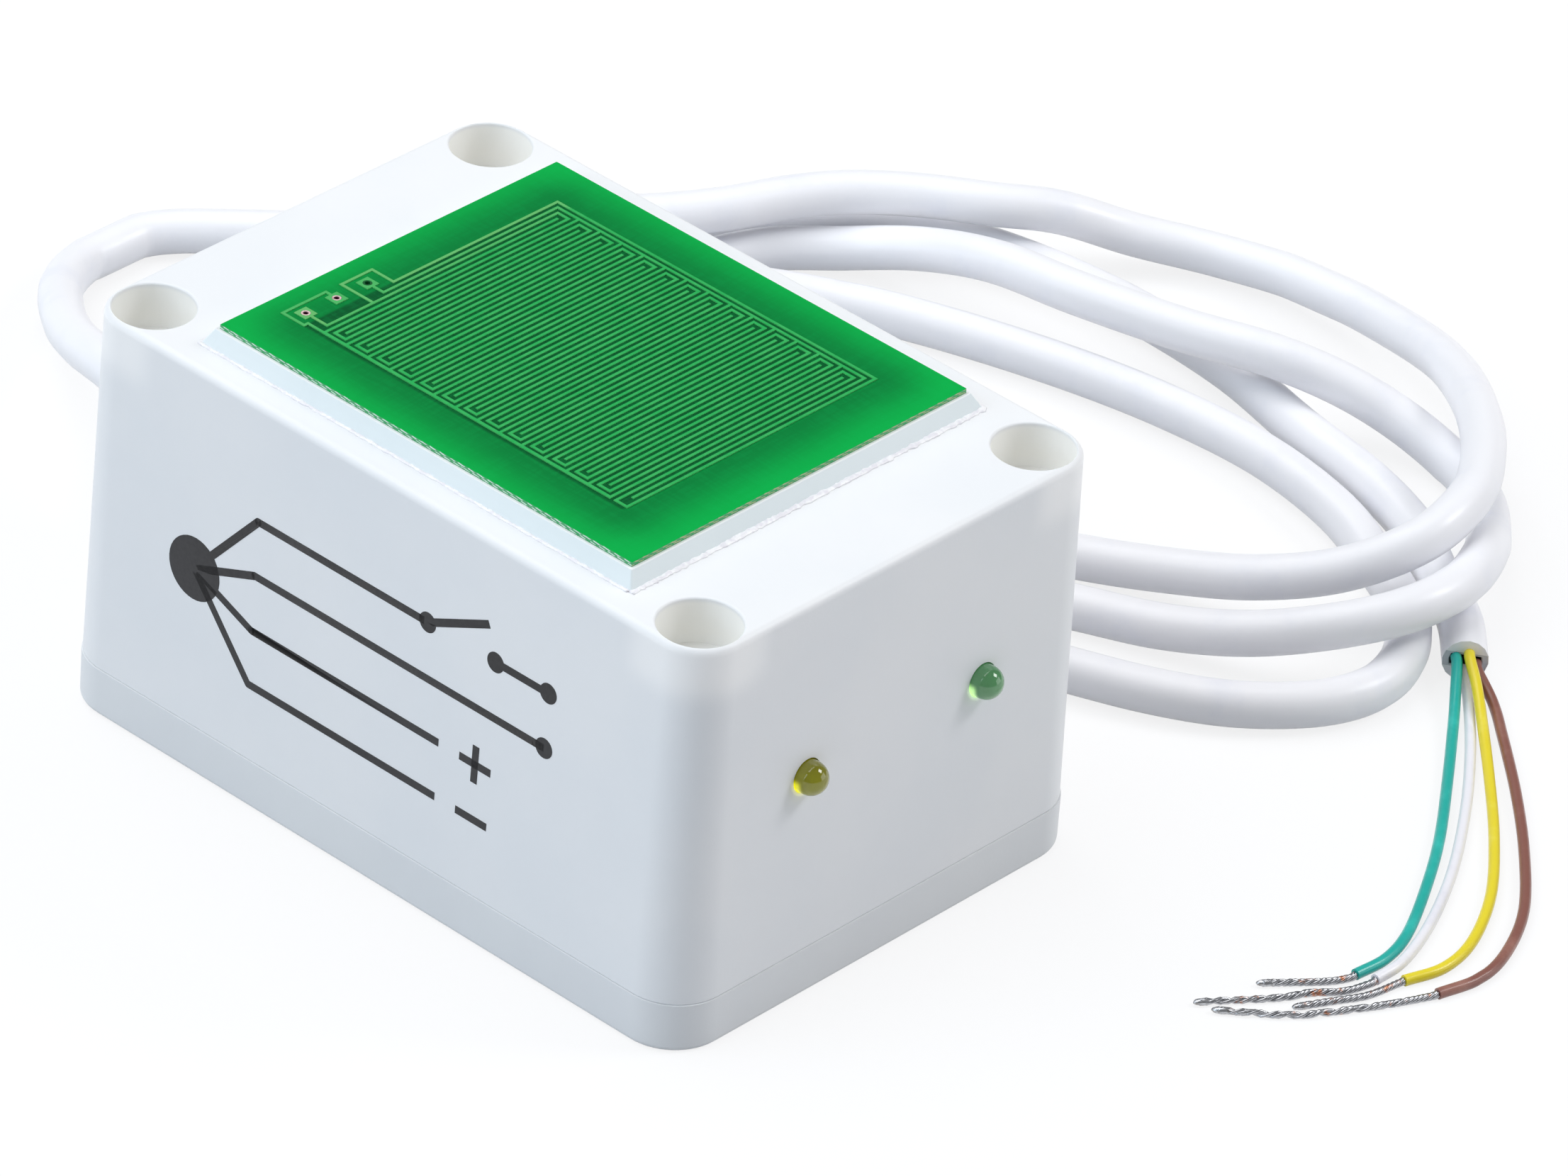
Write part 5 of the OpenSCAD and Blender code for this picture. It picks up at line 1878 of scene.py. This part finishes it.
@dataclass
class Lamp:
    """One round-tipped lamp that looks out of the end wall."""

    name: str
    side: int
    # Tint of the lens, its painted crown shade and its painted gathered-light colour.
    body: Colour
    deep: Colour
    glow: Colour
    radius: float = 1.5 * MM
    flange: float = 1 * MM
    flange_radius: float = 1.9 * MM

    def build(self) -> bpy.types.Object:
        """Spins the lens and puts it on the case.

        Returns:
            The lens.
        """
        low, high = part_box(f"led_{self.name}")
        back, shoulder = low.x, high.x - self.radius
        outline = [(0.0, back), (self.flange_radius, back),
                   (self.flange_radius, back + self.flange), (self.radius, back + self.flange),
                   (self.radius, shoulder)]
        outline += [(self.radius * math.cos(a), shoulder + self.radius * math.sin(a))
                    for a in (math.radians(6 * k) for k in range(1, 16))]
        mesh = turned(outline, (0.0, 0.0), 56)
        y, height = self.side * LAMP_PLACE[0], LAMP_PLACE[1]
        bmesh.ops.transform(mesh, matrix=Matrix.Translation((0.0, y, height)) @ UP_TO_X,
                            verts=mesh.verts)
        case = Case()
        foot = (case.half[0] - height * case.slope, y, height)
        epoxy = TintedEpoxy(f"epoxy_{self.name}", self.body, self.deep, self.glow, foot,
                            self.radius)
        piece = settle(f"lens_{self.name}", mesh, [epoxy])
        return mount(piece, f"lamp_{self.name}", f"led_{self.name}")


def dress(node: str, finish: Finish) -> None:
    """Gives one of the part's own solids its finish.

    Args:
        node: The solid's name.
        finish: Its finish.
    """
    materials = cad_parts[node].data.materials
    materials.clear()
    materials.append(finish.material())
    log.info("%s: %s", node, finish.name)


@dataclass
class Innards:
    """The sealed pieces inside the case, and the cable's inlet."""

    plain: dict[str, Finish] = field(default_factory=lambda: {
        "base_seal": SEAL, "base_screws": SCREW_STEEL, "board_screws": SCREW_STEEL,
        "sensor_leads": TINNED, "led_leads": TINNED, "main_board": BOARD_GREEN,
        "relay_base": BLACK, "relay_bobbin": BOBBIN, "relay_winding": COIL,
        "relay_core": SOFT_IRON, "relay_yoke": SOFT_IRON, "relay_armature": SOFT_IRON,
        "relay_contact_spring": BRONZE, "relay_fixed_contacts": BRONZE,
        "relay_cover": RELAY_BLUE, "comparator_ic": BLACK, "voltage_regulator": BLACK,
        "driver_transistor": BLACK, "filter_capacitor": CAN, "cable_grommet": CABLE_WHITE,
        "cable_tie": BOBBIN, "cable_tail": CABLE_WHITE, "inner_wire_green": CORE_GREEN,
        "inner_wire_white": CORE_WHITE, "inner_wire_yellow": CORE_YELLOW,
        "inner_wire_brown": CORE_BROWN})
    ring_pitch: float = 1.2 * MM
    ring_width: float = 0.5 * MM
    diode_ring: float = 1.9 * MM
    diode_ring_width: float = 0.7 * MM

    def build(self) -> None:
        """Dresses each solid, the ringed ones by their place."""
        for node, finish in self.plain.items():
            dress(node, finish)
        low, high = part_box("resistors")
        middle, half = (low.x + high.x) / 2, self.ring_width / 2
        inks = (srgb(120, 60, 30), srgb(30, 30, 32), srgb(210, 120, 40), srgb(190, 160, 70))
        rings = tuple((middle + (k - 1.5) * self.ring_pitch, half, ink)
                      for k, ink in enumerate(inks))
        dress("resistors", Banded("resistor_coat", srgb(206, 184, 148), rings))
        low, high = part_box("flyback_diode")
        middle, half = (low.y + high.y) / 2, self.diode_ring_width / 2
        ring = (middle + self.diode_ring, half, srgb(190, 192, 196))
        dress("flyback_diode", Banded("diode_coat", srgb(36, 36, 40), (ring,), Axis.Y))


# --------------------------------------------------------------------------- studio


@dataclass
class Softbox:
    """One square lamp of the studio."""

    name: str
    way: Point
    distance: float
    size: float
    power: float
    colour: tuple[float, float, float] = (1.0, 1.0, 1.0)

    def build(self, target: Vector) -> None:
        """Hangs the lamp so that it looks at the target.

        Args:
            target: What it lights.
        """
        light = bpy.data.lights.new(self.name, "AREA")
        light.shape = "SQUARE"
        light.size = self.size
        light.energy = self.power
        light.color = self.colour
        lamp = stand(self.name, light)
        way = Vector(self.way).normalized()
        lamp.location = target + way * self.distance
        lamp.rotation_euler = way.to_track_quat("Z", "Y").to_euler()


@dataclass
class Studio:
    """Camera, floor, sky and lamps."""

    target: Vector = field(default_factory=lambda: Vector((22.81, 0.0, 29.28)) * MM)
    azimuth: float = 40.789
    elevation: float = 33.256
    roll: float = 4.547
    distance: float = 892.3 * MM
    lens: float = 249.0
    sensor: float = 36.0
    floor: float = 3.0
    skies: tuple[tuple[Colour, float], ...] = (
        ((0.96, 0.98, 1.0, 1.0), 0.29), ((1.0, 1.0, 1.0, 1.0), 1.0))
    boxes: tuple[Softbox, ...] = (
        Softbox("key", (0.47, 0.6, 0.69), 1.1, 0.36, 3.8),
        Softbox("top", (-0.4, -0.05, 0.9), 1.2, 1.2, 9.2),
        Softbox("fill", (-0.35, -0.8, 0.48), 1.3, 1.0, 7.8, (0.78, 0.9, 1.0)),
        Softbox("side", (0.7, 0.6, 0.1), 1.5, 1.0, 5.0, (0.97, 0.98, 1.0)))

    def build_camera(self) -> None:
        """Stands the camera where the photograph was taken from."""
        a, e = math.radians(self.azimuth), math.radians(self.elevation)
        back = Vector((math.sin(a) * math.cos(e), -math.cos(a) * math.cos(e), math.sin(e)))
        right = Vector((math.cos(a), math.sin(a), 0.0))
        up = back.cross(right)
        turn = Matrix((right, up, back)).transposed().to_4x4()
        roll = Matrix.Rotation(math.radians(self.roll), 4, "Z")
        data = bpy.data.cameras.new("camera")
        data.lens = self.lens
        data.sensor_width = self.sensor
        data.sensor_fit = "HORIZONTAL"
        data.clip_start = 0.02
        data.clip_end = 20.0
        camera = stand("camera", data)
        camera.matrix_world = (Matrix.Translation(self.target + back * self.distance)
                               @ turn @ roll)
        bpy.context.scene.camera = camera

    def build_room(self) -> None:
        """Lays the floor, paints the sky and hangs the lamps."""
        mesh = bmesh.new()
        bmesh.ops.create_grid(mesh, x_segments=2, y_segments=2, size=self.floor)
        floor = settle("floor", mesh, [Floor("floor", srgb(190, 192, 196))])
        self.paint_sky()
        for box in self.boxes:
            box.build(self.target)
        bpy.context.scene.view_settings.view_transform = "Standard"

    def paint_sky(self) -> None:
        """Paints a faint bluish sky that the camera sees as plain white."""
        world = bpy.data.worlds.new("sky")
        world.use_nodes = True
        nodes, links = world.node_tree.nodes, world.node_tree.links
        nodes.clear()
        path = nodes.new("ShaderNodeLightPath")
        mixed = nodes.new("ShaderNodeMixShader")
        output = nodes.new("ShaderNodeOutputWorld")
        links.new(path.outputs["Is Camera Ray"], mixed.inputs[0])
        for number, (colour, strength) in enumerate(self.skies, 1):
            sky = nodes.new("ShaderNodeBackground")
            sky.inputs["Color"].default_value = colour
            sky.inputs["Strength"].default_value = strength
            links.new(sky.outputs[0], mixed.inputs[number])
        links.new(mixed.outputs[0], output.inputs[0])
        bpy.context.scene.world = world


def main() -> None:
    """Builds the scene in order, camera and cords first."""
    logging.basicConfig(level=logging.INFO, format="%(name)s %(message)s")
    studio = Studio()
    studio.build_camera()
    Harness().build()
    Housing().build()
    WiringPrint().build()
    BasePlate().build()
    SensorTop().build()
    # Tint, painted crown shade and painted gathered light of each lamp's lens.
    Lamp("yellow", -1, srgb(142, 141, 0), srgb(112, 110, 0), srgb(224, 220, 26)).build()
    Lamp("green", 1, srgb(92, 150, 100), srgb(70, 128, 80), srgb(200, 250, 165)).build()
    Innards().build()
    studio.build_room()


if __name__ == "__main__":
    main()
